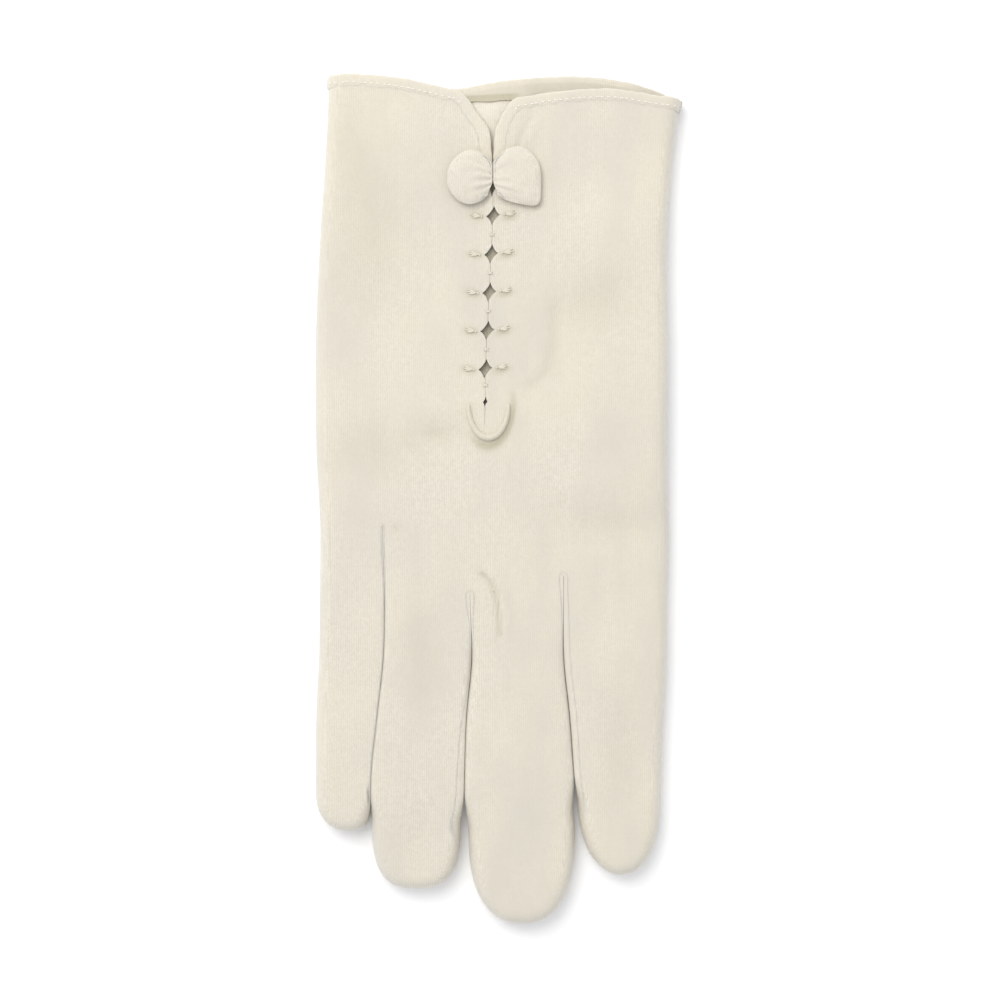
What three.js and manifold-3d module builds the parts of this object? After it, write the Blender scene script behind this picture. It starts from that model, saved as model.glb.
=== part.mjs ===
// A lady's wrist-length dress glove for the right hand, lying flat with the back of the hand up and the
// thumb folded under the palm. Cut and sewn from ivory jersey: a back panel, a palm panel, three forked
// strips between the fingers, a thumb, a rolled hem, and a slit at the back closed down to a row of
// diamond openings, with a two-loop bow at its head and a crescent welt at its foot.
// Millimetres. +Z is up off the table, +Y runs to the cuff, -Y to the fingertips, +X to the index side.
import * as THREE from 'three';
import { mergeVertices } from 'three/addons/utils/BufferGeometryUtils.js';
import Module from 'manifold-3d';

const wasm = await Module();
wasm.setup();

// Fabric and sewing
const FABRIC = 1.1; // wall of the jersey
const SEAM = 0.3; // clear gap where two pieces are sewn together
const HEM_RADIUS = 0.85; // rolled hem at the cuff and down the slit
const WELT_RADIUS = 0.7; // crescent at the foot of the slit

// How the hollow hand lies: its side seam stands above the table, the back crowns up from it and the
// palm bellies down to the table.
const SIDE_HEIGHT = 2.9;
const CROWN = 7.0;
const BELLY = 2.9;
const BELLY_AT_CUFF = 2.5; // the thicker hem holds the palm's edge just off the table
const BACK_ROUND = 7.5; // how far in from the outline the back is still rounding over
const PALM_ROUND = 5.0;
const SQUARENESS = 2.4; // exponent of the rounded edge: 2 is an ellipse

// The fingers
const FINGER_GAP = 0.8;
const FORK_ANGLE = 30; // degrees up the rounded side at which a fork meets a panel
const FORK_CLEAR = 24; // degrees left free on each side of that seam, times the rounding distance
const TIP_POWER = 2.4; // squareness of the fingertips in plan
const TIP_STOP = 0.985; // share of the tip's length at which its short blunt end lies

// The outline of the hand, one row for each section across it. x of the little-finger side, of the three
// lines between the fingers (carried on up the hand as the panels' grain lines), and of the index side.
const SECTIONS = [
  { y: 110, littleSide: -42.0, littleRing: -21.5, ringMiddle: -0.5, middleIndex: 22.0, indexSide: 46.4 },
  { y: 99, littleSide: -42.5, littleRing: -21.5, ringMiddle: -0.5, middleIndex: 22.0, indexSide: 46.0 },
  { y: 87, littleSide: -43.1, littleRing: -21.8, ringMiddle: -0.6, middleIndex: 21.8, indexSide: 44.6 },
  { y: 64, littleSide: -44.6, littleRing: -23.0, ringMiddle: -1.4, middleIndex: 20.8, indexSide: 42.9 },
  { y: 40, littleSide: -45.6, littleRing: -25.0, ringMiddle: -2.8, middleIndex: 19.5, indexSide: 43.1 },
  { y: 13, littleSide: -45.5, littleRing: -27.5, ringMiddle: -5.2, middleIndex: 17.6, indexSide: 43.0 },
  { y: -7, littleSide: -44.5, littleRing: -28.5, ringMiddle: -6.6, middleIndex: 16.8, indexSide: 43.5 },
  { y: -25, littleSide: -44.6, littleRing: -28.1, ringMiddle: -6.6, middleIndex: 16.9, indexSide: 43.2 },
  { y: -40, littleSide: -44.8, littleRing: -28.4, ringMiddle: -6.2, middleIndex: 16.9, indexSide: 43.0 },
  { y: -55, littleSide: -45.5, littleRing: -30.0, ringMiddle: -7.5, middleIndex: 18.4, indexSide: 42.2 },
  { y: -70, littleSide: -45.6, littleRing: -31.5, ringMiddle: -8.0, middleIndex: 19.5, indexSide: 41.6 },
  { y: -90, littleSide: -45.6, littleRing: -31.3, ringMiddle: -8.2, middleIndex: 21.0, indexSide: 41.2 },
];
const LINES = ['littleSide', 'littleRing', 'ringMiddle', 'middleIndex', 'indexSide'];

// Where the fork between two neighbouring fingers ends, from the little finger to the index
const CROTCHES = [
  { name: 'little_ring', line: 'littleRing', y: -7.2 },
  { name: 'ring_middle', line: 'ringMiddle', y: -24.2 },
  { name: 'middle_index', line: 'middleIndex', y: -19.6 },
];

// Each finger rounds off from tipStart to its tip, whose apex lies a little off the finger's middle.
const FINGERS = [
  { name: 'little', tipStart: -72.0, tip: -83.8, apexX: -37.6 },
  { name: 'ring', tipStart: -84.5, tip: -98.4, apexX: -20.2 },
  { name: 'middle', tipStart: -88.0, tip: -107.2, apexX: 4.9 },
  { name: 'index', tipStart: -78.9, tip: -94.9, apexX: 30.8 },
];

// The cuff's edge without its hem: height of the back's and of the palm's edge across the wrist
const CUFF = [
  { x: -44.0, back: 104.9, palm: 103.6 },
  { x: -25.0, back: 103.4, palm: 102.8 },
  { x: -10.5, back: 100.2, palm: 100.8 },
  { x: 0.7, back: 98.0, palm: 102.6 },
  { x: 16.0, back: 99.9, palm: 104.0 },
  { x: 28.0, back: 100.6, palm: 103.4 },
  { x: 38.0, back: 99.2, palm: 101.3 },
  { x: 47.0, back: 97.2, palm: 98.4 },
];
const CUFF_LEVEL = 101; // nominal height of the cuff's row, which the table above bends

// Broad soft dents and swells of the back, as the photograph's shading shows them
const RELIEF = [
  { x: -33, y: 74, spreadX: 9, spreadY: 24, height: -0.35 },
  { x: 26, y: -4, spreadX: 13, spreadY: 7, height: -0.4 },
  { x: 31, y: 44, spreadX: 9, spreadY: 9, height: -0.25 },
  { x: 6, y: 10, spreadX: 14, spreadY: 10, height: 0.25 },
];

// The thumb, folded under: a flat hollow pouch that runs from its hole in the palm to its tip. One row
// for each section: its distance along the thumb, and half its width and half its height there.
const THUMB_BASE = new THREE.Vector2(31, 64);
const THUMB_TIP = new THREE.Vector2(22, 6.5);
const THUMB_SECTIONS = [
  { at: 0.0, half: 3.0, rise: 0.8 },
  { at: 2.0, half: 8.0, rise: 1.15 },
  { at: 7.0, half: 11.4, rise: 1.2 },
  { at: 20.0, half: 12.2, rise: 1.2 },
  { at: 35.0, half: 11.6, rise: 1.2 },
  { at: 46.0, half: 10.2, rise: 1.2 },
  { at: 53.0, half: 7.9, rise: 1.15 },
  { at: 57.0, half: 4.6, rise: 1.0 },
  { at: 58.3, half: 1.6, rise: 0.7 },
];
const THUMB_SQUARENESS = 3;
const THUMB_HOLE = { at: 16, halfLength: 9.5, halfWidth: 7 };
const THUMB_RADIUS = 12.2;
const LIFT_PLATEAU = 3; // the palm stays at full lift this far round the thumb
const LIFT_RAMP = 15; // and comes down to the table over this distance
const BACK_LIFT = 0.35; // share of the palm's lift that shows on the back

// The slit in the back: open in a V at the cuff, held shut from the bow down to the crescent
const SLIT = [
  { y: 108.0, littleSide: -20.0, indexSide: 18.5 },
  { y: 101.0, littleSide: -11.6, indexSide: 9.6 },
  { y: 99.0, littleSide: -9.6, indexSide: 7.3 },
  { y: 96.0, littleSide: -7.8, indexSide: 4.9 },
  { y: 92.0, littleSide: -6.1, indexSide: 3.1 },
  { y: 88.0, littleSide: -4.3, indexSide: 1.7 },
  { y: 84.5, littleSide: -2.95, indexSide: 1.4 },
  { y: 81.5, littleSide: -2.9, indexSide: 1.4 },
];
const DIAMONDS = { count: 5, firstX: -0.85, firstY: 70.9, pitch: 9.6, lean: -0.48, halfWidth: 1.75, halfHeight: 2.5 };
const LAST_DIAMOND = { x: -2.8, y: 24.0, halfWidth: 0.9, halfHeight: 1.6 };
const DIAMOND_HOLLOW = 0.44; // how far each side of a diamond bows in towards its middle

// The crescent welt at the slit's foot
const CRESCENT = { x: -2.1, y: 23.6, halfWidth: 5.3, depth: 8.6 };

// The bow's two loops: ribbon pinched together at the knot, one row for each place along a loop. The
// rounding shares say how far a loop's outer end falls back at its upper and at its lower edge.
const BOW = { x: -0.9, y: 79.0, ribbon: 0.8, clear: 0.25 };
const LOOPS = [
  { name: 'bow_loop_little_side', side: -1, length: 11.0, halfWidth: 6.3, sink: 0.6, roundUpper: 0.3, roundLower: 0.24 },
  { name: 'bow_loop_index_side', side: 1, length: 12.2, halfWidth: 7.2, sink: 0.9, roundUpper: 0.32, roundLower: 0.1 },
];
const LOOP_OUTLINE = [
  { along: 0.0, width: 0.34, rise: 0.9 },
  { along: 0.2, width: 0.74, rise: 1.35 },
  { along: 0.5, width: 0.98, rise: 1.7 },
  { along: 0.8, width: 1.0, rise: 1.5 },
  { along: 1.0, width: 0.86, rise: 0.0 },
];

// Small helpers

const lerp = THREE.MathUtils.lerp;
const smooth = (t) => THREE.MathUtils.smoothstep(t, 0, 1);

// Smooth curve through one column of a table whose key column rises or falls steadily
function column(table, key, name, at) {
  const rows = table[0][key] < table[table.length - 1][key] ? table : [...table].reverse();
  const last = rows.length - 1;
  let i = 0;
  while (i < last - 1 && at > rows[i + 1][key]) i += 1;
  const slope = (j) => {
    const a = rows[Math.max(j - 1, 0)];
    const b = rows[Math.min(j + 1, last)];
    return (b[name] - a[name]) / (b[key] - a[key]);
  };
  const [p, q] = [rows[i], rows[i + 1]];
  const span = q[key] - p[key];
  const t = THREE.MathUtils.clamp((at - p[key]) / span, 0, 1);
  const [t2, t3] = [t * t, t * t * t];
  return (2 * t3 - 3 * t2 + 1) * p[name] + (t3 - 2 * t2 + t) * span * slope(i)
    + (3 * t2 - 2 * t3) * q[name] + (t3 - t2) * span * slope(i + 1);
}

const lineX = (name, y) => column(SECTIONS, 'y', name, y);
const cuffY = (face, x) => column(CUFF, 'x', face, x);

// A closed wall from a sheet of quads: the sheet, its copy set in along the normals, and a rim.
// points are {outer, normal}, quads list four point numbers anticlockwise seen from outside.
function wall(points, quads, thickness) {
  const count = points.length;
  const triangles = [];
  const edges = new Map();
  const quad = (a, b, c, d) => triangles.push(a, b, c, a, c, d);
  for (const [a, b, c, d] of quads) {
    quad(a, b, c, d);
    quad(count + d, count + c, count + b, count + a);
    for (const [from, to] of [[a, b], [b, c], [c, d], [d, a]]) {
      if (!edges.delete(`${to}_${from}`)) edges.set(`${from}_${to}`, [from, to]);
    }
  }
  for (const [from, to] of edges.values()) quad(to, from, count + from, count + to);
  const inner = points.map((p) => p.outer.clone().addScaledVector(p.normal, -thickness));
  return mesh([...points.map((p) => p.outer), ...inner], triangles);
}

function mesh(vertices, triangles) {
  const geometry = new THREE.BufferGeometry();
  geometry.setAttribute('position', new THREE.Float32BufferAttribute(vertices.flatMap((v) => v.toArray()), 3));
  geometry.setIndex(triangles);
  return geometry;
}

// three.js geometry to a solid that can be cut, and back
function solid(geometry) {
  const bare = geometry.clone();
  bare.deleteAttribute('normal');
  bare.deleteAttribute('uv');
  const merged = mergeVertices(bare, 1e-4);
  return new wasm.Manifold(new wasm.Mesh({
    numProp: 3,
    vertProperties: new Float32Array(merged.attributes.position.array),
    triVerts: new Uint32Array(merged.index.array),
  }));
}

function geometryOf(body) {
  const { vertProperties, triVerts } = body.getMesh();
  const geometry = new THREE.BufferGeometry();
  geometry.setAttribute('position', new THREE.BufferAttribute(vertProperties, 3));
  geometry.setIndex(new THREE.BufferAttribute(triVerts, 1));
  return geometry;
}

function cut(geometry, ...tools) {
  return geometryOf(tools.reduce((body, tool) => body.subtract(solid(tool)), solid(geometry)));
}

// An upright prism through the whole glove, for cutting
function prism(outline) {
  const [bottom, height] = [-20, 60];
  const geometry = new THREE.ExtrudeGeometry(new THREE.Shape(outline), { depth: height, bevelEnabled: false });
  return geometry.translate(0, 0, bottom);
}

// A round roll of fabric along a smooth line
function roll(points, radius, steps, sides) {
  const section = new THREE.Shape();
  section.absarc(0, 0, radius, 0, 2 * Math.PI);
  const path = new THREE.CatmullRomCurve3(points, false, 'centripetal');
  return new THREE.ExtrudeGeometry(section, { extrudePath: path, steps, curveSegments: sides / 2 });
}

// The fingers' outlines in plan

function tipShare(finger, y) {
  return THREE.MathUtils.clamp((finger.tipStart - y) / (finger.tipStart - finger.tip), 0, 1);
}

// x of the left (-1) or right (+1) side of a finger's outline at height y
function fingerSide(index, side, y) {
  const finger = FINGERS[index];
  const at = Math.max(y, finger.tipStart);
  const left = lineX(LINES[index], at) + (index > 0 ? FINGER_GAP / 2 : 0);
  const right = lineX(LINES[index + 1], at) - (index < 3 ? FINGER_GAP / 2 : 0);
  const t = tipShare(finger, y);
  const middle = lerp((left + right) / 2, finger.apexX, t * t);
  return middle + side * (right - left) / 2 * (1 - t ** TIP_POWER) ** (1 / TIP_POWER);
}

// The whole outline, from the cuff down the little finger's side and up the index side
const TIP_SHARES = [0.35, 0.62, 0.82, 0.93, TIP_STOP];
const OUTLINE_SHARES = TIP_SHARES.flatMap((share, i) => [((TIP_SHARES[i - 1] ?? 0) + share) / 2, share]);
function outlinePoints() {
  const [step, above] = [4, 125];
  const points = [];
  const side = (index, which, top) => {
    const finger = FINGERS[index];
    const run = [];
    for (let y = top; y > finger.tipStart; y -= step) run.push(y);
    for (const t of OUTLINE_SHARES) run.push(lerp(finger.tipStart, finger.tip, t));
    return run.map((y) => new THREE.Vector2(fingerSide(index, which, y), y));
  };
  FINGERS.forEach((finger, index) => {
    const top = [index > 0 ? CROTCHES[index - 1].y : above, index < 3 ? CROTCHES[index].y : above];
    points.push(...side(index, -1, top[0]), ...side(index, 1, top[1]).reverse());
    if (index < 3) points.push(new THREE.Vector2(lineX(LINES[index + 1], top[1]), top[1] + FINGER_GAP / 2));
  });
  return points;
}
const OUTLINE = outlinePoints();

function outlineDistance(x, y) {
  let best = Infinity;
  for (let i = 1; i < OUTLINE.length; i += 1) {
    const [a, b] = [OUTLINE[i - 1], OUTLINE[i]];
    const [dx, dy] = [b.x - a.x, b.y - a.y];
    const t = THREE.MathUtils.clamp(((x - a.x) * dx + (y - a.y) * dy) / (dx * dx + dy * dy), 0, 1);
    best = Math.min(best, Math.hypot(x - a.x - t * dx, y - a.y - t * dy));
  }
  return best;
}

// The rounded side: share of full height at a share of the rounding distance, and by angle
const rounded = (share) => (1 - (1 - Math.min(share, 1)) ** SQUARENESS) ** (1 / SQUARENESS);
const angleInset = (degrees) => 1 - Math.cos(THREE.MathUtils.degToRad(degrees)) ** (2 / SQUARENESS);

// How the hand's two faces lie. side is +1 for the back and -1 for the palm.

function fullHeight(side, y) {
  return side > 0 ? CROWN : lerp(BELLY, BELLY_AT_CUFF, smooth((y - 84) / 14));
}
const roundOf = (side) => (side > 0 ? BACK_ROUND : PALM_ROUND);

function relief(x, y) {
  return RELIEF.reduce((sum, dent) => sum
    + dent.height * Math.exp(-(((x - dent.x) / dent.spreadX) ** 2) - (((y - dent.y) / dent.spreadY) ** 2)), 0);
}

// The hand rides up over the folded thumb
const THUMB_AXIS = THUMB_TIP.clone().sub(THUMB_BASE).normalize();
const THUMB_LENGTH = THUMB_SECTIONS[THUMB_SECTIONS.length - 1].at;
const THUMB_HEIGHT = 2 * Math.max(...THUMB_SECTIONS.map((s) => s.rise));
function lift(x, y) {
  const from = new THREE.Vector2(x, y).sub(THUMB_BASE);
  const along = THREE.MathUtils.clamp(from.dot(THUMB_AXIS), THUMB_RADIUS, THUMB_LENGTH - THUMB_RADIUS);
  const away = from.distanceTo(THUMB_AXIS.clone().multiplyScalar(along)) - THUMB_RADIUS - LIFT_PLATEAU;
  return (THUMB_HEIGHT + SEAM) * (1 - smooth(away / LIFT_RAMP));
}

// A point of a face and its outward normal. depth is its distance in from the outline, and inward the
// direction of that distance in plan.
function facePoint(side, x, y, depth, inward) {
  const [full, round] = [fullHeight(side, y), roundOf(side)];
  const share = rounded(depth / round);
  const height = full * share;
  const step = 0.01;
  const steep = depth < 0.02 ? 1e4 : full * (rounded((depth + step) / round) - rounded((depth - step) / round)) / (2 * step);
  const z = SIDE_HEIGHT + side * Math.max(height, SEAM / 2) + lift(x, y) * (side > 0 ? lerp(1, BACK_LIFT, share) : 1)
    + (side > 0 ? relief(x, y) * share : 0);
  const normal = new THREE.Vector3(-inward.x * steep, -inward.y * steep, side).normalize();
  return { outer: new THREE.Vector3(x, y, z), normal };
}

function surfacePoint(side, x, y, towards, onOutline = false) {
  const depth = onOutline ? 0 : outlineDistance(x, y);
  const probe = new THREE.Vector2(x, y).lerp(towards, depth < 0.5 ? 0.15 : 0);
  const step = 0.15;
  const inward = new THREE.Vector2(
    outlineDistance(probe.x + step, probe.y) - outlineDistance(probe.x - step, probe.y),
    outlineDistance(probe.x, probe.y + step) - outlineDistance(probe.x, probe.y - step),
  ).normalize();
  return facePoint(side, x, y, depth, inward);
}

// Height of the middle of the fabric, for what is sewn to an edge or laid on top
function fabricZ(side, x, y, above) {
  const { outer, normal } = surfacePoint(side, x, y, new THREE.Vector2(0, y));
  return outer.addScaledVector(normal, above);
}

// The two panels: four strips, one for each finger, joined above the crotches

const HAND_ROWS = [CUFF_LEVEL, 95, 84, 72, 60, 48, 36, 24, 12, 2];
const CUFF_BEND = [1, 0.75, 0.25]; // how much the first rows follow the cuff's edge
const CROTCH_RING = [{ up: 1.6, out: 0 }, { up: 1.15, out: 1.1 }, { up: 0, out: 0 }]; // rows round a crotch
const FINGER_ROWS = 5;
const SIDE_COLUMNS = [0, 0.9, 3.2];
const STRIP_POINTS = 2 * SIDE_COLUMNS.length + 1;

function rowsOfHand() {
  const rows = HAND_ROWS.map((y, i) => ({ y, bend: CUFF_BEND[i] ?? 0 }));
  const forks = CROTCHES.map((crotch, gap) => ({ ...crotch, gap })).sort((a, b) => b.y - a.y);
  forks.forEach((fork, i) => {
    for (const ring of CROTCH_RING) rows.push({ y: fork.y + ring.up, bend: 0, gap: fork.gap, out: ring.out });
    const next = forks[i + 1];
    if (next && fork.y - next.y > 6) rows.push({ y: (fork.y + next.y + CROTCH_RING[0].up) / 2, bend: 0 });
  });
  return rows;
}
const ROWS = rowsOfHand();
const LAST_SHARED = ROWS.length - 1;
const ROW_COUNT = ROWS.length + FINGER_ROWS + TIP_SHARES.length;
const openFrom = (gap) => ROWS.findIndex((row) => row.gap === gap && row.out > 0);

function rowY(finger, row) {
  if (row <= LAST_SHARED) return ROWS[row].y;
  const shape = FINGERS[finger];
  const below = row - LAST_SHARED;
  if (below <= FINGER_ROWS) return lerp(ROWS[LAST_SHARED].y, shape.tipStart, below / FINGER_ROWS);
  return lerp(shape.tipStart, shape.tip, TIP_SHARES[below - FINGER_ROWS - 1]);
}

// Angle up the side at which the fork's seam runs: it dies away round the fingertip
function seamAngle(finger, y) {
  return FORK_ANGLE * (1 - smooth(tipShare(FINGERS[finger], y) / 0.8));
}

const forkClear = (side) => FORK_CLEAR / roundOf(side);

// Left (-1) or right (+1) edge of a strip: the grain line above the crotch, the seam below it
function stripEdge(side, finger, which, row) {
  const y = rowY(finger, row);
  const gap = which < 0 ? finger - 1 : finger;
  if (gap < 0 || gap > 2) return { x: fingerSide(finger, which, y), onOutline: true };
  if (row < openFrom(gap)) return { x: lineX(CROTCHES[gap].line, y), onOutline: false };
  const shared = ROWS[row];
  if (shared && shared.gap === gap && shared.out > 0) {
    return { x: lineX(CROTCHES[gap].line, y) - which * shared.out, onOutline: false };
  }
  const angle = seamAngle(finger, y);
  const inset = angle > 0 ? roundOf(side) * angleInset(angle + forkClear(side)) : 0;
  return { x: fingerSide(finger, which, y) - which * inset, onOutline: inset === 0 };
}

function panel(side) {
  const points = [];
  const quads = [];
  const known = new Map();
  const number = (finger, row, col) => {
    const shared = finger > 0 && col === 0 && row < openFrom(finger - 1);
    const key = shared ? `${finger - 1}_${row}_${STRIP_POINTS - 1}` : `${finger}_${row}_${col}`;
    if (known.has(key)) return known.get(key);
    const [left, right] = [-1, 1].map((which) => stripEdge(side, finger, which, row));
    const width = right.x - left.x;
    const squeeze = Math.min(1, width / 10);
    const steps = SIDE_COLUMNS.map((s) => s * squeeze);
    const offsets = [...steps, width / 2, ...[...steps].reverse().map((s) => width - s)];
    let x = left.x + offsets[col];
    const y = rowY(finger, row) + (ROWS[row]?.bend ?? 0) * (cuffY(side > 0 ? 'back' : 'palm', x) - CUFF_LEVEL);
    const edge = { 0: left, [STRIP_POINTS - 1]: right }[col];
    if (edge?.onOutline) x = fingerSide(finger, edge === left ? -1 : 1, y);
    points.push(surfacePoint(side, x, y, new THREE.Vector2((left.x + right.x) / 2, y + squeeze), edge?.onOutline));
    known.set(key, points.length - 1);
    return points.length - 1;
  };
  for (let finger = 0; finger < FINGERS.length; finger += 1) {
    for (let row = 0; row < ROW_COUNT - 1; row += 1) {
      for (let col = 0; col < STRIP_POINTS - 1; col += 1) {
        const corners = [[row + 1, col], [row + 1, col + 1], [row, col + 1], [row, col]].map(([r, c]) => number(finger, r, c));
        quads.push(side > 0 ? corners : corners.reverse());
      }
    }
  }
  return wall(points, quads, FABRIC);
}

// A fork: one strip of fabric down the side of one finger, round the crotch and down its neighbour

function fork(gap) {
  const crotch = CROTCHES[gap];
  const stations = [];
  const run = (finger, which) => {
    const rows = [];
    for (let row = openFrom(gap) + 1; row < ROW_COUNT - 1; row += 1) {
      const y = rowY(finger, row);
      if (seamAngle(finger, y) > forkClear(-1) * 1.5) rows.push(row);
    }
    return rows.map((row) => {
      const y = rowY(finger, row);
      return { x: fingerSide(finger, which, y), y, inward: new THREE.Vector2(-which, 0), angle: seamAngle(finger, y) };
    });
  };
  stations.push(...run(gap, 1).reverse());
  for (const turn of [135, 90, 45]) {
    const inward = new THREE.Vector2(1, 0).rotateAround(new THREE.Vector2(), THREE.MathUtils.degToRad(turn));
    const centre = new THREE.Vector2(lineX(crotch.line, crotch.y), crotch.y);
    const at = centre.addScaledVector(inward, FINGER_GAP / 2);
    stations.push({ x: at.x, y: at.y, inward, angle: FORK_ANGLE });
  }
  stations.push(...run(gap + 1, -1));
  const across = [1, 0.5, 0, -0.5, -1];
  const points = stations.flatMap(({ x, y, inward, angle }) => across.map((share) => {
    const side = share < 0 ? -1 : 1;
    const depth = roundOf(side) * angleInset(Math.abs(share) * (angle - forkClear(side)));
    const at = new THREE.Vector2(x, y).addScaledVector(inward, depth);
    const point = facePoint(side, at.x, at.y, depth, inward);
    if (share === 0) point.outer.z = SIDE_HEIGHT + lift(at.x, at.y);
    return point;
  }));
  const quads = [];
  for (let i = 0; i < stations.length - 1; i += 1) {
    for (let j = 0; j < across.length - 1; j += 1) {
      const a = i * across.length + j;
      quads.push([a, a + 1, a + across.length + 1, a + across.length]);
    }
  }
  return wall(points, quads, FABRIC);
}

// The thumb: one loft inside another, with its hole cut in the upper layer

function thumbLoft(inset) {
  const ring = 20;
  const across = new THREE.Vector2(-THUMB_AXIS.y, THUMB_AXIS.x);
  const vertices = [];
  const triangles = [];
  const power = 2 / THUMB_SQUARENESS;
  for (const { at, half, rise } of THUMB_SECTIONS) {
    const along = THREE.MathUtils.clamp(at, inset, THUMB_LENGTH - inset);
    for (let i = 0; i < ring; i += 1) {
      const [c, s] = [Math.cos((2 * Math.PI * i) / ring), Math.sin((2 * Math.PI * i) / ring)];
      const sideways = Math.max(half - inset, 0.3) * Math.sign(c) * Math.abs(c) ** power;
      const place = THUMB_BASE.clone().addScaledVector(THUMB_AXIS, along).addScaledVector(across, sideways);
      const up = Math.max(rise - inset, 0.25) * Math.sign(s) * Math.abs(s) ** power;
      vertices.push(new THREE.Vector3(place.x, place.y, THUMB_HEIGHT / 2 + up));
    }
  }
  const last = (THUMB_SECTIONS.length - 1) * ring;
  for (let row = 0; row < last; row += ring) {
    for (let i = 0; i < ring; i += 1) {
      const [a, b] = [row + i, row + (i + 1) % ring];
      triangles.push(a, b, b + ring, a, b + ring, a + ring);
    }
  }
  for (let i = 1; i < ring - 1; i += 1) triangles.push(0, i + 1, i, last, last + i, last + i + 1);
  return mesh(vertices, triangles);
}

function thumbHole(grow) {
  const across = new THREE.Vector2(-THUMB_AXIS.y, THUMB_AXIS.x);
  const outline = [];
  for (let i = 0; i < 20; i += 1) {
    const angle = (2 * Math.PI * i) / 20;
    outline.push(THUMB_BASE.clone()
      .addScaledVector(THUMB_AXIS, THUMB_HOLE.at + (THUMB_HOLE.halfLength + grow) * Math.cos(angle))
      .addScaledVector(across, (THUMB_HOLE.halfWidth + grow) * Math.sin(angle)));
  }
  return prism(outline);
}

function thumb() {
  const hole = thumbHole(0).translate(0, 0, 20 + THUMB_HEIGHT / 2); // the prism's foot in the thumb's hollow
  return cut(thumbLoft(0), thumbLoft(FABRIC), hole);
}

// The slit's V, its diamonds and the hem that edges it

// The cut edge of the back on one side: from the slit's foot up to the cuff and along it to the side seam
function backEdge(name) {
  const outwards = name === 'littleSide' ? -1 : 1;
  const points = [];
  for (let y = SLIT[SLIT.length - 1].y + 0.4; y < 110; y += 1.5) {
    const x = column(SLIT, 'y', name, y);
    if (y > cuffY('back', x) - 0.5) break;
    points.push(new THREE.Vector2(x, y));
  }
  const start = points[points.length - 1].x + outwards * 1.2;
  const end = lineX(name, CUFF_LEVEL) - outwards * 1.6;
  const steps = 9;
  for (let i = 0; i <= steps; i += 1) {
    const x = lerp(start, end, i / steps);
    points.push(new THREE.Vector2(x, cuffY('back', x)));
  }
  return points;
}

function slitV() {
  const side = (name) => {
    const points = [];
    for (let y = SLIT[SLIT.length - 1].y; y <= SLIT[0].y; y += 1.5) {
      points.push(new THREE.Vector2(column(SLIT, 'y', name, y), y));
    }
    return points;
  };
  return prism([...side('littleSide'), ...side('indexSide').reverse()]);
}

function diamond(x, y, halfWidth, halfHeight) {
  const corners = [[1, 0], [0, 1], [-1, 0], [0, -1]];
  const outline = corners.flatMap(([cx, cy], i) => {
    const [nx, ny] = corners[(i + 1) % 4];
    return [
      new THREE.Vector2(x + cx * halfWidth, y + cy * halfHeight),
      new THREE.Vector2(x + (cx + nx) * halfWidth * DIAMOND_HOLLOW, y + (cy + ny) * halfHeight * DIAMOND_HOLLOW),
    ];
  });
  return prism(outline);
}

function diamonds() {
  const { count, firstX, firstY, pitch, lean, halfWidth, halfHeight } = DIAMONDS;
  const row = Array.from({ length: count }, (_, i) => diamond(firstX + i * lean, firstY - i * pitch, halfWidth, halfHeight));
  return [...row, diamond(LAST_DIAMOND.x, LAST_DIAMOND.y, LAST_DIAMOND.halfWidth, LAST_DIAMOND.halfHeight)];
}

// A line moved sideways in plan: to its right for a positive distance
function moved(line, distance) {
  return line.map((point, i) => {
    const along = line[Math.min(i + 1, line.length - 1)].clone().sub(line[Math.max(i - 1, 0)]).normalize();
    return new THREE.Vector2(point.x + along.y * distance, point.y - along.x * distance);
  });
}

// Middle line of the hem: up one side of the slit, round the cuff and down the other side
function hemLine() {
  const reach = HEM_RADIUS + SEAM + 0.2; // from the fabric's edge to the roll's middle
  const inFabric = -FABRIC / 2;
  const beside = (side, line, distance) => moved(line, distance).map((at, i) => {
    const { z } = fabricZ(side, line[i].x, line[i].y, inFabric);
    return new THREE.Vector3(at.x, at.y, z);
  });
  const corner = (name, inwards) => {
    const y = Math.max(...['back', 'palm'].map((face) => cuffY(face, lineX(name, CUFF_LEVEL))));
    return new THREE.Vector3(lineX(name, CUFF_LEVEL) + inwards * FABRIC / 2, y + reach, SIDE_HEIGHT);
  };
  const palm = [];
  const [from, to] = [lineX('littleSide', CUFF_LEVEL) + 1.6, lineX('indexSide', CUFF_LEVEL) - 1.6];
  const steps = 16;
  for (let i = 0; i <= steps; i += 1) {
    const x = lerp(from, to, i / steps);
    palm.push(new THREE.Vector2(x, cuffY('palm', x)));
  }
  return [
    ...beside(1, backEdge('littleSide'), reach),
    corner('littleSide', 1),
    ...beside(-1, palm, -reach),
    corner('indexSide', -1),
    ...beside(1, backEdge('indexSide').reverse(), reach),
  ];
}

// The crescent: a roll lying on the back, bent into a U round the slit's foot
function crescentLine() {
  const points = [];
  for (let degrees = -180; degrees <= 0; degrees += 20) {
    const angle = THREE.MathUtils.degToRad(degrees);
    const x = CRESCENT.x + CRESCENT.halfWidth * Math.cos(angle);
    const y = CRESCENT.y + CRESCENT.depth * Math.sin(angle);
    points.push(fabricZ(1, x, y, WELT_RADIUS + SEAM));
  }
  return points;
}

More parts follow.
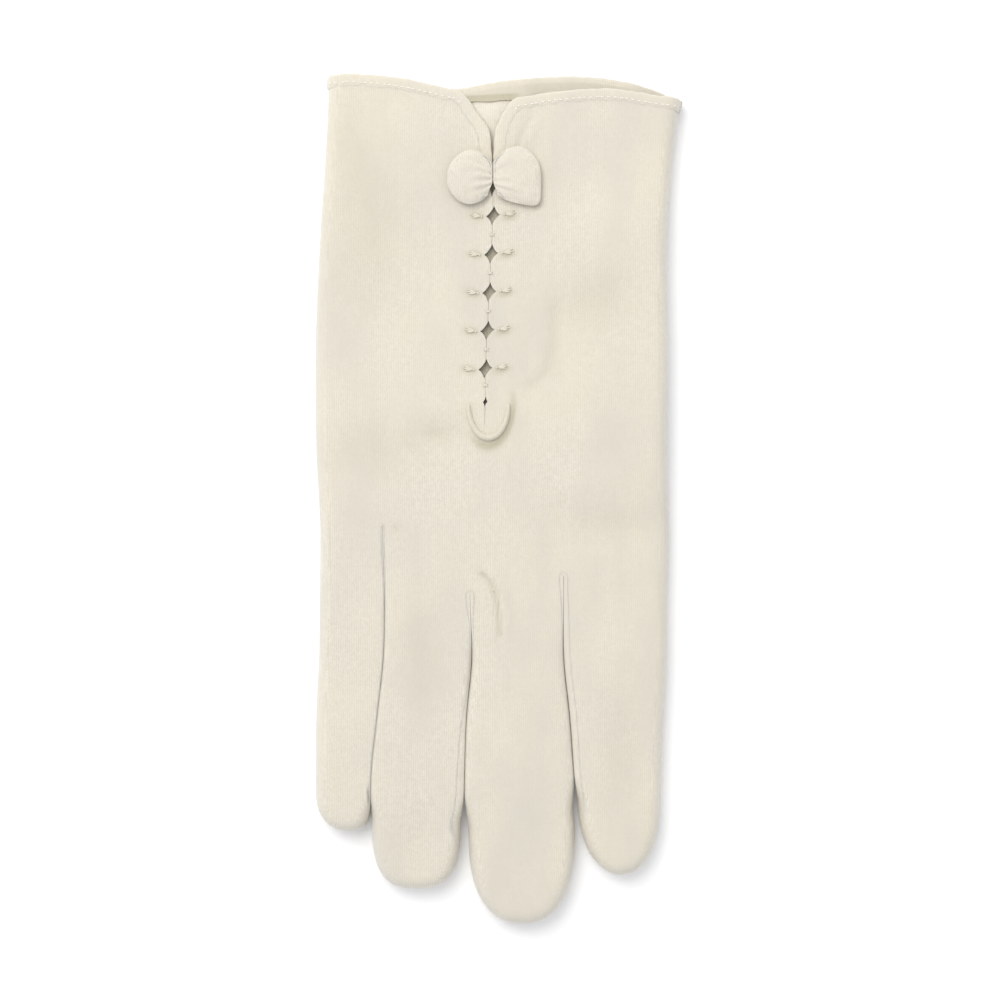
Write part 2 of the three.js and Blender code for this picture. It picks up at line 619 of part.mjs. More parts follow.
// A loop of the bow: ribbon that leaves the knot along the top and comes back underneath
function bowLoop({ side, length, halfWidth, sink, roundUpper, roundLower }) {
  const width = [-1, -0.5, 0, 0.5, 1];
  const shares = LOOP_OUTLINE.map((row) => row.along);
  const there = shares.map((along) => ({ along, up: 1 }));
  const back = shares.slice(0, -1).reverse().map((along) => ({ along, up: -1 }));
  const ring = [...there, ...back];
  const base = fabricZ(1, BOW.x, BOW.y, 0).z + BOW.clear;
  const height = 2 * Math.max(...LOOP_OUTLINE.map((row) => row.rise));
  const points = ring.flatMap(({ along, up }) => width.map((w) => {
    const half = halfWidth * column(LOOP_OUTLINE, 'along', 'width', along);
    const rise = column(LOOP_OUTLINE, 'along', 'rise', along) * (1 - 0.35 * w * w);
    const round = (w > 0 ? roundUpper : roundLower) * w * w * along;
    const x = BOW.x + side * (BOW.clear / 2 + along * length * (1 - round));
    const y = BOW.y + w * half - sink * along;
    return new THREE.Vector3(x, y, base + height / 2 + up * rise);
  }));
  const quads = [];
  for (let i = 0; i < ring.length; i += 1) {
    for (let j = 0; j < width.length - 1; j += 1) {
      const [a, b] = [i * width.length + j, ((i + 1) % ring.length) * width.length + j];
      quads.push(side > 0 ? [a, b, b + 1, a + 1] : [a + 1, b + 1, b, a]);
    }
  }
  const normals = mesh(points, quads.flatMap(([a, b, c, d]) => [a, b, c, a, c, d]));
  normals.computeVertexNormals();
  const normal = (i) => new THREE.Vector3().fromBufferAttribute(normals.attributes.normal, i);
  return wall(points.map((outer, i) => ({ outer, normal: normal(i) })), quads, BOW.ribbon);
}

// The assembly

const jersey = new THREE.MeshStandardMaterial({ name: 'ivory_jersey', color: 0xe9e2d2, roughness: 0.92, metalness: 0 });
const edging = new THREE.MeshStandardMaterial({ name: 'ivory_edging', color: 0xe6dfcd, roughness: 0.88, metalness: 0 });

const glove = new THREE.Group();
function add(name, geometry, material) {
  const piece = new THREE.Mesh(geometry, material);
  piece.name = name;
  glove.add(piece);
}

add('back_panel', cut(panel(1), slitV(), ...diamonds()), jersey);
add('palm_panel', cut(panel(-1), thumbHole(0)), jersey);
CROTCHES.forEach(({ name }, gap) => add(`fourchette_${name}`, fork(gap), jersey));
add('thumb', thumb(), jersey);
add('cuff_hem', roll(hemLine(), HEM_RADIUS, 78, 8), edging);
add('slit_end_crescent', roll(crescentLine(), WELT_RADIUS, 16, 8), edging);
LOOPS.forEach((loop) => add(loop.name, bowLoop(loop), jersey));

// The origin lies on the table under the glove's middle
const middle = new THREE.Box3().setFromObject(glove).getCenter(new THREE.Vector3());
glove.position.set(-middle.x, -middle.y, 0);

export default glove;
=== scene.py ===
# %% [markdown]
# # An embroidered jersey dress glove
#
# The real glove is cut from fine ivory jersey and sewn inside out, so that every seam is a quiet line.
# It lies on a table with the back of the hand up and the thumb folded underneath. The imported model
# already holds its construction. This script loads that model as a fixed frame and dresses it: each
# soft piece is modelled again as cloth, in the place where its solid lies.

import bmesh
import bpy
import numpy as np
from mathutils import Matrix, Vector, noise


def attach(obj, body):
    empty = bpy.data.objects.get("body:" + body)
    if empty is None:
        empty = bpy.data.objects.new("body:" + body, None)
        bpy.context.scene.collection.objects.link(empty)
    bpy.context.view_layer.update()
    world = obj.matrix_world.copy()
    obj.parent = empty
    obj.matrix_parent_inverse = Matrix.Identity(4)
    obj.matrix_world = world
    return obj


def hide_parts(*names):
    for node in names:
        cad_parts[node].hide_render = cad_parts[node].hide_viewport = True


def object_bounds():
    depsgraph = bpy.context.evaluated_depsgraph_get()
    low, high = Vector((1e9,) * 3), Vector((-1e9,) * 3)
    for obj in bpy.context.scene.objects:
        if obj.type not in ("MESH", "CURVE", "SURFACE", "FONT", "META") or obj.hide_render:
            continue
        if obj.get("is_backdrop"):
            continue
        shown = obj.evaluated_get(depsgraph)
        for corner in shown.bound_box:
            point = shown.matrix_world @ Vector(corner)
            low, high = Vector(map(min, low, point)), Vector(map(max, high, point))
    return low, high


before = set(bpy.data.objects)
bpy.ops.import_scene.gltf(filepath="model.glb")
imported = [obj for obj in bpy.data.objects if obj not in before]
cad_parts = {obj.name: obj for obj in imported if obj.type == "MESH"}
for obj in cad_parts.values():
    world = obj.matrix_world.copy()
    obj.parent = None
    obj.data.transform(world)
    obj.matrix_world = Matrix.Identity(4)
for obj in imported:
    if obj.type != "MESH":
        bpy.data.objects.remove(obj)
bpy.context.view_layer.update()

print("nodes in the frame:", ", ".join(sorted(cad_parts)))

# %% [markdown]
# ## Units
#
# The pattern is drawn in millimetres from its own origin. The frame is in metres, from the middle of the
# solids' box, so every finished piece is moved and scaled once, at the end of its own cell.

# %% Units
MM = 0.001
SHIFT = (-0.3949, -0.0976)  # from the pattern's own origin to the frame's, in millimetres
print("the frame lies", SHIFT, "mm from the pattern")

# %% [markdown]
# ## The camera
#
# The photograph looks straight down on the table. A long lens from about a metre away keeps the sides
# upright, so the outline in the picture is the outline on the table. The glove fills most of the frame.

# %% Camera
CAMERA_HEIGHT = 0.95
LENS = 135
FRAME_MIDDLE = Vector((0.0005, -0.0005, 0))

camera = bpy.data.objects.new("camera", bpy.data.cameras.new("camera"))
camera.data.lens = LENS
camera.location = FRAME_MIDDLE + Vector((0, 0, CAMERA_HEIGHT))
bpy.context.scene.collection.objects.link(camera)
bpy.context.scene.camera = camera
print(f"camera {CAMERA_HEIGHT} m above the table, {LENS} mm lens")

# %% [markdown]
# ## Light
#
# The photograph is a bright catalogue picture: a white ground, a broad soft light from the upper left,
# and so much light from everywhere else that the shadows stay pale. One large area lamp gives the
# direction and a white surround fills the rest. The plain colour transform keeps white white.

# %% Light
KEY_PLACE = Vector((-0.29, 0.47, 1.03))
KEY_SIZE = 0.7
KEY_WATTS = 8.35
KEY_COLOUR = (1.0, 0.985, 0.96)
SURROUND = (0.95, 0.965, 1.0)
SURROUND_STRENGTH = 0.76


def key_light():
    lamp = bpy.data.objects.new("key_light", bpy.data.lights.new("key_light", "AREA"))
    lamp.data.size = KEY_SIZE
    lamp.data.energy = KEY_WATTS
    lamp.data.color = KEY_COLOUR
    lamp.location = KEY_PLACE
    lamp.rotation_euler = KEY_PLACE.to_track_quat("Z", "Y").to_euler()
    bpy.context.scene.collection.objects.link(lamp)


def surround():
    world = bpy.data.worlds.new("surround")
    world.use_nodes = True
    background = world.node_tree.nodes["Background"]
    background.inputs["Color"].default_value = (*SURROUND, 1)
    background.inputs["Strength"].default_value = SURROUND_STRENGTH
    bpy.context.scene.world = world


key_light()
surround()
bpy.context.scene.view_settings.view_transform = "Standard"
print("one soft key light from the upper left, and a pale surround")

# %% [markdown]
# ## Wiring materials
#
# A material is a small net of nodes. Written as Python expressions it reads like arithmetic: Wire is
# one socket, and adding or multiplying wires adds the Math nodes.


# %% Wires
class Wire:
    """The output of a node, on which arithmetic works."""

    def __init__(self, finish, socket):
        self.finish = finish
        self.socket = socket

    def math(self, operation, first, second):
        return self.finish.node("ShaderNodeMath", {"operation": operation}, {0: first, 1: second})

    def __add__(self, other):
        return self.math("ADD", self, other)

    def __sub__(self, other):
        return self.math("SUBTRACT", self, other)

    def __rsub__(self, other):
        return self.math("SUBTRACT", other, self)

    def __mul__(self, other):
        return self.math("MULTIPLY", self, other)

    __radd__ = __add__
    __rmul__ = __mul__


print("wires can be added, subtracted and multiplied")

# %% [markdown]
# ## Finishes
#
# Finish holds one material and has a single method for every other kind of node. The noise, the wave and
# the relief take their sizes in millimetres on the cloth, because that is how one measures a fabric.


# %% Finishes
class Finish:
    """One material: a shader with plain settings, and the nodes that vary them."""

    def __init__(self, name, **settings):
        self.material = bpy.data.materials.new(name)
        self.material.use_nodes = True
        self.tree = self.material.node_tree
        self.shader = self.tree.nodes["Principled BSDF"]
        for socket, value in settings.items():
            self.shader.inputs[socket.replace("_", " ")].default_value = value

    def node(self, kind, settings=None, sockets=None, output=0):
        made = self.tree.nodes.new(kind)
        for name, value in (settings or {}).items():
            setattr(made, name, value)
        for name, value in (sockets or {}).items():
            self.feed(made.inputs[name], value)
        return Wire(self, made.outputs[output])

    def feed(self, socket, value):
        if isinstance(value, Wire):
            self.tree.links.new(value.socket, socket)
        else:
            socket.default_value = value

    def mix(self, share, first, second):
        mixer = {"data_type": "RGBA"}
        return self.node("ShaderNodeMix", mixer, {0: share, 6: first, 7: second}, output=2)

    def place(self):
        return self.node("ShaderNodeTexCoord", output="Object")

    def speckles(self, place, size, detail):
        """A noise with patches of about a size in millimetres."""
        sockets = {"Vector": place, "Scale": 1 / (size * MM), "Detail": detail}
        return self.node("ShaderNodeTexNoise", None, sockets)

    def waves(self, direction, place, pitch, **more):
        """A wave with one crest every pitch millimetres."""
        sockets = {"Vector": place, "Scale": 2 * np.pi / (20 * pitch * MM), **more}
        return self.node("ShaderNodeTexWave", {"bands_direction": direction}, sockets, output="Fac")

    def colour(self, value):
        self.feed(self.shader.inputs["Base Color"], value)

    def relief(self, height, strength, depth):
        """Lets a height in the nodes tilt the light on the surface; depth is in millimetres."""
        sockets = {"Strength": strength, "Distance": depth * MM, "Height": height}
        self.feed(self.shader.inputs["Normal"], self.node("ShaderNodeBump", None, sockets))


print("a finish can take noise, waves, mixed colours and relief")

# %% [markdown]
# ## Ivory
#
# The glove is one colour to the eye, yet a close look finds several: a lighter and a darker tone in the
# knit, and a warmer and a greyer one over the hand. A dull olive is painted shade. The edging is a shade
# darker, and the palm is a lighter copy of the ivory, as painted light. Each is red, green, blue and opacity,
# in linear light.

# %% Ivory
IVORY = (0.756, 0.710, 0.618, 1)
IVORY_SHADE = (0.640, 0.598, 0.510, 1)
IVORY_WARM = (0.738, 0.682, 0.556, 1)
IVORY_GREY = (0.660, 0.620, 0.540, 1)
# painted shade: the duller olive given to hollows, folds and the places beside the stitches
IVORY_PAINTED_SHADE = (0.505, 0.465, 0.345, 1)
EDGING = (0.745, 0.700, 0.604, 1)
EDGING_SHADE = (0.660, 0.617, 0.520, 1)
# painted light: a lighter copy of the ivory for the palm, which lies in shade inside the glove
PAINTED_LIGHT_IVORY = (0.830, 0.788, 0.700, 1)
PAINTED_LIGHT_IVORY_SHADE = (0.720, 0.680, 0.590, 1)
print("ivory reflects", IVORY[:3], "of red, green and blue")

# %% [markdown]
# ## The jersey
#
# The cloth is a fine matt cotton jersey. From a step away it reads as an even ivory, and close up as
# tiny stitches in columns that run along the hand, slightly fuzzed. Two noises at the size of the
# stitches and a fine column wave give the surface its bump. On the steep sides the wave runs on downwards,
# so the columns keep their width there. The same noises shift the colour by a few hundredths, and slower
# ones warm and cool it over the hand, because a used glove is never even. Thin cotton lets light through,
# so the finish scatters it some tenths of a millimetre deep, which keeps the creases soft. Where an
# attribute of painted shade says so, the colour turns duller and more olive: that is shade painted into the
# colour.

# %% Jersey
COLUMN_PITCH = 0.46  # one column of knit stitches, in millimetres
COLUMN_WANDER = {"Distortion": 2.5, "Detail": 1.0, "Detail Scale": 1.6}
STITCH_SIZE, FUZZ_SIZE, PATCH_SIZE, SLOW_SIZE = 0.42, 1.1, 13, 34
PATCH_STRETCH = (1, 0.45, 1)
SPECKLE_SHARES = (0.42, 0.36, 0.22)  # of the stitches, the fuzz and the columns in the colour
RELIEF_SHARES = (0.6, 0.25, 0.3)  # the same in the relief
RELIEF_DEPTH = 0.16
GRAIN_CONTRAST = 4.4
WARM_FROM, WARM_GAIN = 0.35, 1.6  # from which value of the slow noise on the cloth is warmer, and how soon
GREY_FROM, GREY_GAIN = 0.42, 3.0
MATT = {"Sheen_Weight": 0.2, "Sheen_Roughness": 0.6, "Specular_IOR_Level": 0.2}
TRANSLUCENT = {  # how much light passes into the cloth, how far, and the same for red, green and blue
    "Subsurface_Weight": 0.6, "Subsurface_Scale": 0.7 * MM, "Subsurface_Radius": (1.0, 1.0, 1.0)}
KNIT_ROUGHNESS = 0.92
PAINTED_SHADE_ATTRIBUTE = "painted_shade"  # the attribute that holds the painted shade


def part_of(finish, vector, axis):
    return finish.node("ShaderNodeSeparateXYZ", None, {"Vector": vector}, output=axis)


def around_hand(finish, place):
    """Places in which x runs on down the steep sides, so that the knit's columns keep their width there."""
    steep = part_of(finish, finish.node("ShaderNodeNewGeometry", output="Normal"), "X")
    around = part_of(finish, place, "X") - part_of(finish, place, "Z") * steep * steep * steep
    return finish.node("ShaderNodeCombineXYZ", None, {"X": around, "Y": part_of(finish, place, "Y")})


def weighed(shares, first, second, third):
    return first * shares[0] + second * shares[1] + third * shares[2]


def knit_finish(name, light, shade, bump=0.5):
    finish = Finish(name, Roughness=KNIT_ROUGHNESS, **MATT, **TRANSLUCENT)
    place = finish.place()
    stitch = finish.speckles(place, STITCH_SIZE, 2.0)
    fuzz = finish.speckles(place, FUZZ_SIZE, 3.0)
    slow = finish.speckles(place, SLOW_SIZE, 2.0)
    columns = finish.waves("X", around_hand(finish, place), COLUMN_PITCH, **COLUMN_WANDER)
    stretched = finish.node("ShaderNodeVectorMath", {"operation": "MULTIPLY"}, {0: place, 1: PATCH_STRETCH})
    patch = finish.speckles(stretched, PATCH_SIZE, 3.0)
    # painted shade, read from an attribute on the points
    painted_shade_here = finish.node("ShaderNodeAttribute", {"attribute_name": PAINTED_SHADE_ATTRIBUTE}, output="Fac")
    grain_share = (weighed(SPECKLE_SHARES, stitch, fuzz, columns) - 0.5) * GRAIN_CONTRAST + 0.5
    mottled = finish.mix((slow - WARM_FROM) * WARM_GAIN, finish.mix(grain_share, shade, light), IVORY_WARM)
    mottled = finish.mix((patch - GREY_FROM) * GREY_GAIN, mottled, IVORY_GREY)
    finish.colour(finish.mix(painted_shade_here, mottled, IVORY_PAINTED_SHADE))
    finish.relief(weighed(RELIEF_SHARES, stitch, fuzz, columns), bump, RELIEF_DEPTH)
    return finish.material


jersey = knit_finish("ivory_jersey_cloth", IVORY, IVORY_SHADE)
edging = knit_finish("ivory_edging_cloth", EDGING, EDGING_SHADE, bump=0.4)
# painted light: the palm's finish is a lighter copy of the jersey
painted_light_jersey = knit_finish("ivory_palm_cloth", PAINTED_LIGHT_IVORY, PAINTED_LIGHT_IVORY_SHADE)
print("jersey with knit columns", COLUMN_PITCH, "mm apart")

# %% [markdown]
# ## The thread
#
# The stitches are a slightly glossier twisted thread. Its own material has a little less roughness and
# a fine slanting wave, which reads as the twist; the wave also darkens the colour between the strands, as
# painted shade. The hem's thread is clean, and the embroidery's thread is painted darker, as painted shade.

# %% Thread
TWIST_PITCH, TWIST_STRENGTH, TWIST_DEPTH = 0.35, 0.3, 0.06
# the first colour, between the strands, is darker as painted shade
THREAD = ((0.760, 0.716, 0.614, 1), (0.850, 0.812, 0.722, 1))  # between the strands and on them
# the embroidery's thread is painted darker, as painted shade round the picots and bars
PAINTED_SHADE_THREAD = ((0.620, 0.578, 0.470, 1), (0.745, 0.702, 0.600, 1))


def thread_finish(name, dark, light):
    finish = Finish(name, Roughness=0.7, Sheen_Weight=0.15, Specular_IOR_Level=0.35)
    twist = finish.waves("DIAGONAL", finish.place(), TWIST_PITCH)
    finish.colour(finish.mix(twist, dark, light))
    finish.relief(twist, TWIST_STRENGTH, TWIST_DEPTH)
    return finish.material


thread = thread_finish("ivory_thread", *THREAD)
# painted shade: a darker thread for the picots and bars
painted_shade_thread = thread_finish("dull_ivory_thread", *PAINTED_SHADE_THREAD)
print("threads twisted every", TWIST_PITCH, "mm")

# %% [markdown]
# ## The floor
#
# The catalogue's ground is a sheet of white paper that is lit from everywhere. One large face glows a
# little by itself, so that only the places that the glove shades fall below white.

# %% Floor
FLOOR_HALF = 3  # metres
FLOOR_WHITE = (0.93, 0.93, 0.935, 1)
FLOOR_GLOW = 0.07


def white_floor():
    bm = bmesh.new()
    bmesh.ops.create_grid(bm, x_segments=1, y_segments=1, size=FLOOR_HALF)
    mesh = bpy.data.meshes.new("floor")
    bm.to_mesh(mesh)
    bm.free()
    floor = bpy.data.objects.new("floor", mesh)
    bpy.context.scene.collection.objects.link(floor)
    paper = Finish("white_floor", Roughness=0.9, Base_Color=FLOOR_WHITE, Specular_IOR_Level=0.1,
                   Emission_Color=FLOOR_WHITE, Emission_Strength=FLOOR_GLOW)
    mesh.materials.append(paper.material)
    floor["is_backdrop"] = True


white_floor()
print("a floor of", 2 * FLOOR_HALF, "m")

# %% [markdown]
# ## The glove's pattern
#
# A glove is drawn as a flat pattern first. These tables are the model's own, in millimetres: the two
# sides and the three lines between the fingers, the fingertips, and the edge at the cuff. The gaps
# between the fingers are closed at the crotch and open a little further down. The tips of the three
# longer fingers part by one or two millimetres.

# %% Pattern
SECTION_Y = (110, 99, 87, 64, 40, 13, -7, -25, -40, -55, -70, -90)
LINES = (
    (-42.0, -42.5, -43.1, -44.6, -45.6, -45.5, -44.5, -44.6, -44.8, -45.5, -45.6, -45.6),
    (-21.5, -21.5, -21.8, -23.0, -25.0, -27.5, -28.5, -28.1, -28.4, -30.0, -31.5, -31.3),
    (-0.5, -0.5, -0.6, -1.4, -2.8, -5.2, -6.6, -6.6, -6.2, -7.5, -8.0, -8.2),
    (22.0, 22.0, 21.8, 20.8, 19.5, 17.6, 16.8, 16.9, 16.9, 18.4, 19.5, 21.0),
    (46.4, 46.0, 44.6, 42.9, 43.1, 43.0, 43.5, 43.2, 43.0, 42.2, 41.6, 41.2),
)
CROTCH_NAMES = ("little_ring", "ring_middle", "middle_index")
CROTCH_Y = (-7.2, -24.2, -19.6)
TIP_START = (-74.0, -81.0, -84.5, -76.0)
TIP_END = (-83.8, -98.4, -107.2, -94.9)
TIP_APEX_X = (-37.2, -20.2, 6.6, 31.5)
TIP_POWER = (2.6, 2.85, 2.45, 2.15)
TIP_LENGTH = [start - end for start, end in zip(TIP_START, TIP_END)]
TIPS_PART = (0.0, 2.1, 1.5)  # how far each pair of tips parts
PART_ABOVE, PART_LENGTH = 8.0, 12.0  # how far above the rounded tips that starts, and over what length
CLOSED_GAP, OPEN_GAP = 0.06, 0.2
GAP_OPENS = (  # for each gap: y down its length, and how far it has opened there, from 0 to 1
    ((-7, -20, -30, -60, -72), (0.0, 0.05, 0.22, 0.15, 0.15)),
    ((-24, -33, -41, -60, -85), (0.0, 0.12, 0.85, 0.42, 0.6)),
    ((-19, -31, -40, -62, -79), (0.0, 0.15, 0.60, 0.60, 0.1)),
)
BACK, PALM = 1, -1
CUFF_X = (-44.0, -25.0, -10.5, 0.7, 16.0, 28.0, 38.0, 47.0)
CUFF_Y = {BACK: (104.9, 103.4, 100.2, 98.0, 99.9, 100.6, 99.2, 97.2),
          PALM: (103.6, 102.8, 100.8, 102.6, 104.0, 103.4, 101.3, 98.4)}
CUFF_LEVEL = 101.0
DIAMOND_COUNT = 5
DIAMOND_FIRST = (-0.85, 70.9)
DIAMOND_PITCH, DIAMOND_LEAN = 9.6, -0.48
DIAMONDS = [(DIAMOND_FIRST[0] + i * DIAMOND_LEAN, DIAMOND_FIRST[1] - i * DIAMOND_PITCH)
            for i in range(DIAMOND_COUNT)]
SLIT_HEAD, LAST_DIAMOND, SLIT_FOOT = (-0.85, 82.5), (-2.8, 24.2), (-2.95, 18.6)
CRESCENT = {"x": -2.05, "y": 23.4, "half_width": 5.0, "depth": 8.2}
print("from the cuff to the longest fingertip", round(max(CUFF_Y[BACK]) - min(TIP_END), 1), "mm")

# %% [markdown]
# ## Curves through the tables
#
# A pattern cutter marks a few points and draws a smooth line through them with a bent rule. The same is
# done here: a cubic curve through each column gives every place between the rows, and smooth is the soft
# step from 0 to 1 with which one shape fades into the next.


# %% Curves
def smooth(t):
    t = np.clip(t, 0, 1)
    return t * t * (3 - 2 * t)


def curve_through(places, values, at):
    """Smooth curve through the rows of a table, read at one place or many."""
    order = np.argsort(places)
    keys, rows = np.asarray(places, float)[order], np.asarray(values, float)[order]
    ends = np.clip(np.arange(len(keys))[:, None] + (-1, 1), 0, len(keys) - 1).T
    slopes = (rows[ends[1]] - rows[ends[0]]) / (keys[ends[1]] - keys[ends[0]])
    at = np.clip(at, keys[0], keys[-1])
    i = np.clip(np.searchsorted(keys, at) - 1, 0, len(keys) - 2)
    span = keys[i + 1] - keys[i]
    t = (at - keys[i]) / span
    return ((2 * t**3 - 3 * t**2 + 1) * rows[i] + (t**3 - 2 * t**2 + t) * span * slopes[i]
            + (3 * t**2 - 2 * t**3) * rows[i + 1] + (t**3 - t**2) * span * slopes[i + 1])


def line_x(line, y):
    return curve_through(SECTION_Y, LINES[line], y)


def reach_along(line):
    """Length of a line up to each of its points."""
    return np.concatenate([[0], np.cumsum(np.linalg.norm(np.diff(line, axis=0), axis=1))])


def round_line(points, count):
    """A smooth line of evenly spread points through a few."""
    points = np.asarray(points, float)
    reach = reach_along(points)
    at = np.linspace(0, reach[-1], count)
    return np.stack([curve_through(reach, axis, at) for axis in points.T], 1)


def slit_x(y):
    """x of the slit's line at y."""
    stops = [SLIT_FOOT, LAST_DIAMOND] + DIAMONDS[::-1] + [SLIT_HEAD]
    return np.interp(y, [stop[1] for stop in stops], [stop[0] for stop in stops])


print("the slit runs from", SLIT_HEAD, "to", SLIT_FOOT)

# %% [markdown]
# ## Gaps between the fingers
#
# Two fingers of a flat glove touch almost everywhere. The gap between them is a hair at the crotch, a
# little more below, and a wedge where the tips part. A gap has the number of the finger at its left.


# %% Gaps
def gap_opening(gap, y):
    return np.clip(curve_through(*GAP_OPENS[gap], y), 0, 1)


def gap_width(gap, y):
    parting = smooth((max(TIP_START[gap:gap + 2]) + PART_ABOVE - y) / PART_LENGTH)
    return CLOSED_GAP + (OPEN_GAP - CLOSED_GAP) * gap_opening(gap, y) + TIPS_PART[gap] * parting


def gap_beside(finger, which):
    """The gap at a finger's left (-1) or right (+1). The hand's own sides have none, and give -1 or 3."""
    return finger if which > 0 else finger - 1


def side_is_free(finger, which):
    return not 0 <= gap_beside(finger, which) < 3


print("the gaps are", [round(float(gap_width(gap, -60)), 2) for gap in range(3)], "mm wide half way down")

# %% [markdown]
# ## The outline of the hand
#
# Each finger's two sides run along the pattern's lines and close in a squarish round at the tip. The
# distance of any point from this outline later decides how high the cloth stands there, because a
# flat glove rounds over at its edges and is level in between.


# %% Outline
def tip_share(finger, y):
    """How far y lies down a fingertip's round, from 0 to 1."""
    return np.clip((TIP_START[finger] - y) / TIP_LENGTH[finger], 0, 1)


def narrowed(finger, share):
    """Width that is left at a share of the fingertip's round."""
    return (1 - share ** TIP_POWER[finger]) ** (1 / TIP_POWER[finger])


def finger_side(finger, which, y):
    """x of a finger's left (-1) or right (+1) side at y."""
    y = np.asarray(y, float)
    at = np.maximum(y, TIP_START[finger])
    left = line_x(finger, at) + (gap_width(finger - 1, at) / 2 if finger > 0 else 0)
    right = line_x(finger + 1, at) - (gap_width(finger, at) / 2 if finger < 3 else 0)
    tip = tip_share(finger, y)
    middle = (left + right) / 2 * (1 - tip**2) + TIP_APEX_X[finger] * tip**2
    return middle + which * (right - left) / 2 * narrowed(finger, tip)


def outline_points():
    above, step, tip_steps = 125.0, 1.2, 64
    points = []
    for finger in range(4):
        start = TIP_START[finger]
        tip = start - TIP_LENGTH[finger] * np.sin(np.linspace(0, np.pi / 2, tip_steps))
        for which in (-1, 1):
            gap = gap_beside(finger, which)
            top = above if side_is_free(finger, which) else CROTCH_Y[gap]
            run = np.concatenate([np.arange(top, start, -step), tip])
            side = np.stack([finger_side(finger, which, run), run], 1)
            points.append(side if which < 0 else side[::-1])
        if finger < 3:
            points.append([(float(line_x(finger + 1, CROTCH_Y[finger])), CROTCH_Y[finger] + CLOSED_GAP / 2)])
    return np.concatenate(points)


OUTLINE = outline_points()


def distance_to(line, x, y):
    """Distance in plan of many points from a line of many stretches."""
    start, along = line[:-1], np.diff(line, axis=0)
    length = np.maximum((along**2).sum(1), 1e-12)
    found = np.empty(len(x))
    block = 4000
    for first in range(0, len(x), block):
        dx = x[first:first + block, None] - start[:, 0]
        dy = y[first:first + block, None] - start[:, 1]
        t = np.clip((dx * along[:, 0] + dy * along[:, 1]) / length, 0, 1)
        found[first:first + block] = np.hypot(dx - t * along[:, 0], dy - t * along[:, 1]).min(1)
    return found


print("outline of", len(OUTLINE), "points")

# %% [markdown]
# ## How the cloth lies
#
# The two layers lie on each other with some air between them, as in a glove that kept the shape of the
# hand. The back rounds up from the side seam to a level crown, and the palm bellies down to the table.
# Both follow a flattened ellipse, so one pair of functions serves both layers and all the seams.

# %% Rounding
SIDE_HEIGHT = 2.9
CROWN = 7.0
ROUND = {BACK: 5.4, PALM: 5.0}  # how far in from the outline each layer still rounds over
FLATNESS = {BACK: 4.6, PALM: 3.0}  # how soon the rounding levels out; 2 is an ellipse


def rounded(side, share):
    """Share of the full height at a share of the rounding distance."""
    return np.sqrt(1 - (1 - np.clip(share, 0, 1)) ** FLATNESS[side])


def inset_at(side, degrees):
    """How far in from the outline the rounded side has turned through an angle."""
    return ROUND[side] * (1 - np.cos(np.radians(degrees)) ** (2 / FLATNESS[side]))


print("crown of the back", round(SIDE_HEIGHT + CROWN, 1), "mm above the table")

# %% [markdown]
# ## What lifts the palm
#
# The palm rides over the folded thumb. Under the slit and at the cuff it rises close to the back, which
# is why it shows so pale through the V and the diamonds. Of the three rises the largest one counts, with
# soft passages between them.

# %% The palm's rises
THUMB_BASE = np.array((31.0, 64.0))
THUMB_TIP = np.array((22.0, 6.5))
THUMB_LENGTH = 58.3
THUMB_HEIGHT = 2.4
THUMB_RADIUS = 12.2
THUMB_ALONG = (THUMB_TIP - THUMB_BASE) / np.linalg.norm(THUMB_TIP - THUMB_BASE)
THUMB_ACROSS = np.array((-THUMB_ALONG[1], THUMB_ALONG[0]))
THUMB_CLEAR, LIFT_PLATEAU, LIFT_RAMP = 0.3, 3.0, 15.0
PALM_RISE = {"height": 6.9, "plateau": 6.0, "ramp": 15.0, "foot": 22.0, "foot_ramp": 12.0,
             "loss": 0.13, "loss_from": 97.0, "loss_ramp": 5.0}  # a little lower again behind the V
CUFF_RISE = {"height": 5.0, "start": 84.0, "length": 15.0, "side": 15.0}
PALM_RISES_FROM = 0.8  # share of the rounded side at which the palm's rise is complete


def thumb_lift(x, y):
    dx, dy = x - THUMB_BASE[0], y - THUMB_BASE[1]
    along = np.clip(dx * THUMB_ALONG[0] + dy * THUMB_ALONG[1], THUMB_RADIUS, THUMB_LENGTH - THUMB_RADIUS)
    away = np.hypot(dx - along * THUMB_ALONG[0], dy - along * THUMB_ALONG[1]) - THUMB_RADIUS - LIFT_PLATEAU
    return (THUMB_HEIGHT + THUMB_CLEAR) * (1 - smooth(away / LIFT_RAMP))


def palm_rise(x, y):
    """How far the palm's cloth follows the back upwards under the slit."""
    away = (np.abs(x - slit_x(y)) - PALM_RISE["plateau"]) / PALM_RISE["ramp"]
    along = smooth((y - PALM_RISE["foot"]) / PALM_RISE["foot_ramp"] + 1)
    loss = PALM_RISE["loss"] * smooth((y - PALM_RISE["loss_from"]) / PALM_RISE["loss_ramp"])
    return PALM_RISE["height"] * (1 - smooth(away)) * along * (1 - loss)


def cuff_rise(x, y):
    """How far the palm's cloth closes up to the back at the cuff."""
    from_side = np.minimum(x - line_x(0, y), line_x(4, y) - x)
    along = smooth((y - CUFF_RISE["start"]) / CUFF_RISE["length"])
    return CUFF_RISE["height"] * smooth(from_side / CUFF_RISE["side"]) * along


def palm_lift(x, y, share, power=4):
    """The palm rides over the thumb, rises under the slit and closes at the cuff, whichever is most."""
    inward = smooth(share / PALM_RISES_FROM)
    rises = thumb_lift(x, y), palm_rise(x, y) * inward, cuff_rise(x, y) * inward
    return sum(rise**power for rise in rises) ** (1 / power)


print("the thumb lifts the palm by", round(THUMB_HEIGHT + THUMB_CLEAR, 1), "mm")

# %% [markdown]
# ## Folds and dents
#
# Nothing soft is level. The photograph shows a few shallow folds: one beside the V, an arc at the root
# of the middle finger, creases across the index finger's knuckle, a long soft hollow at the left. A fold
# is a line with a width and a depth, and a dent or a swelling is a soft oval.

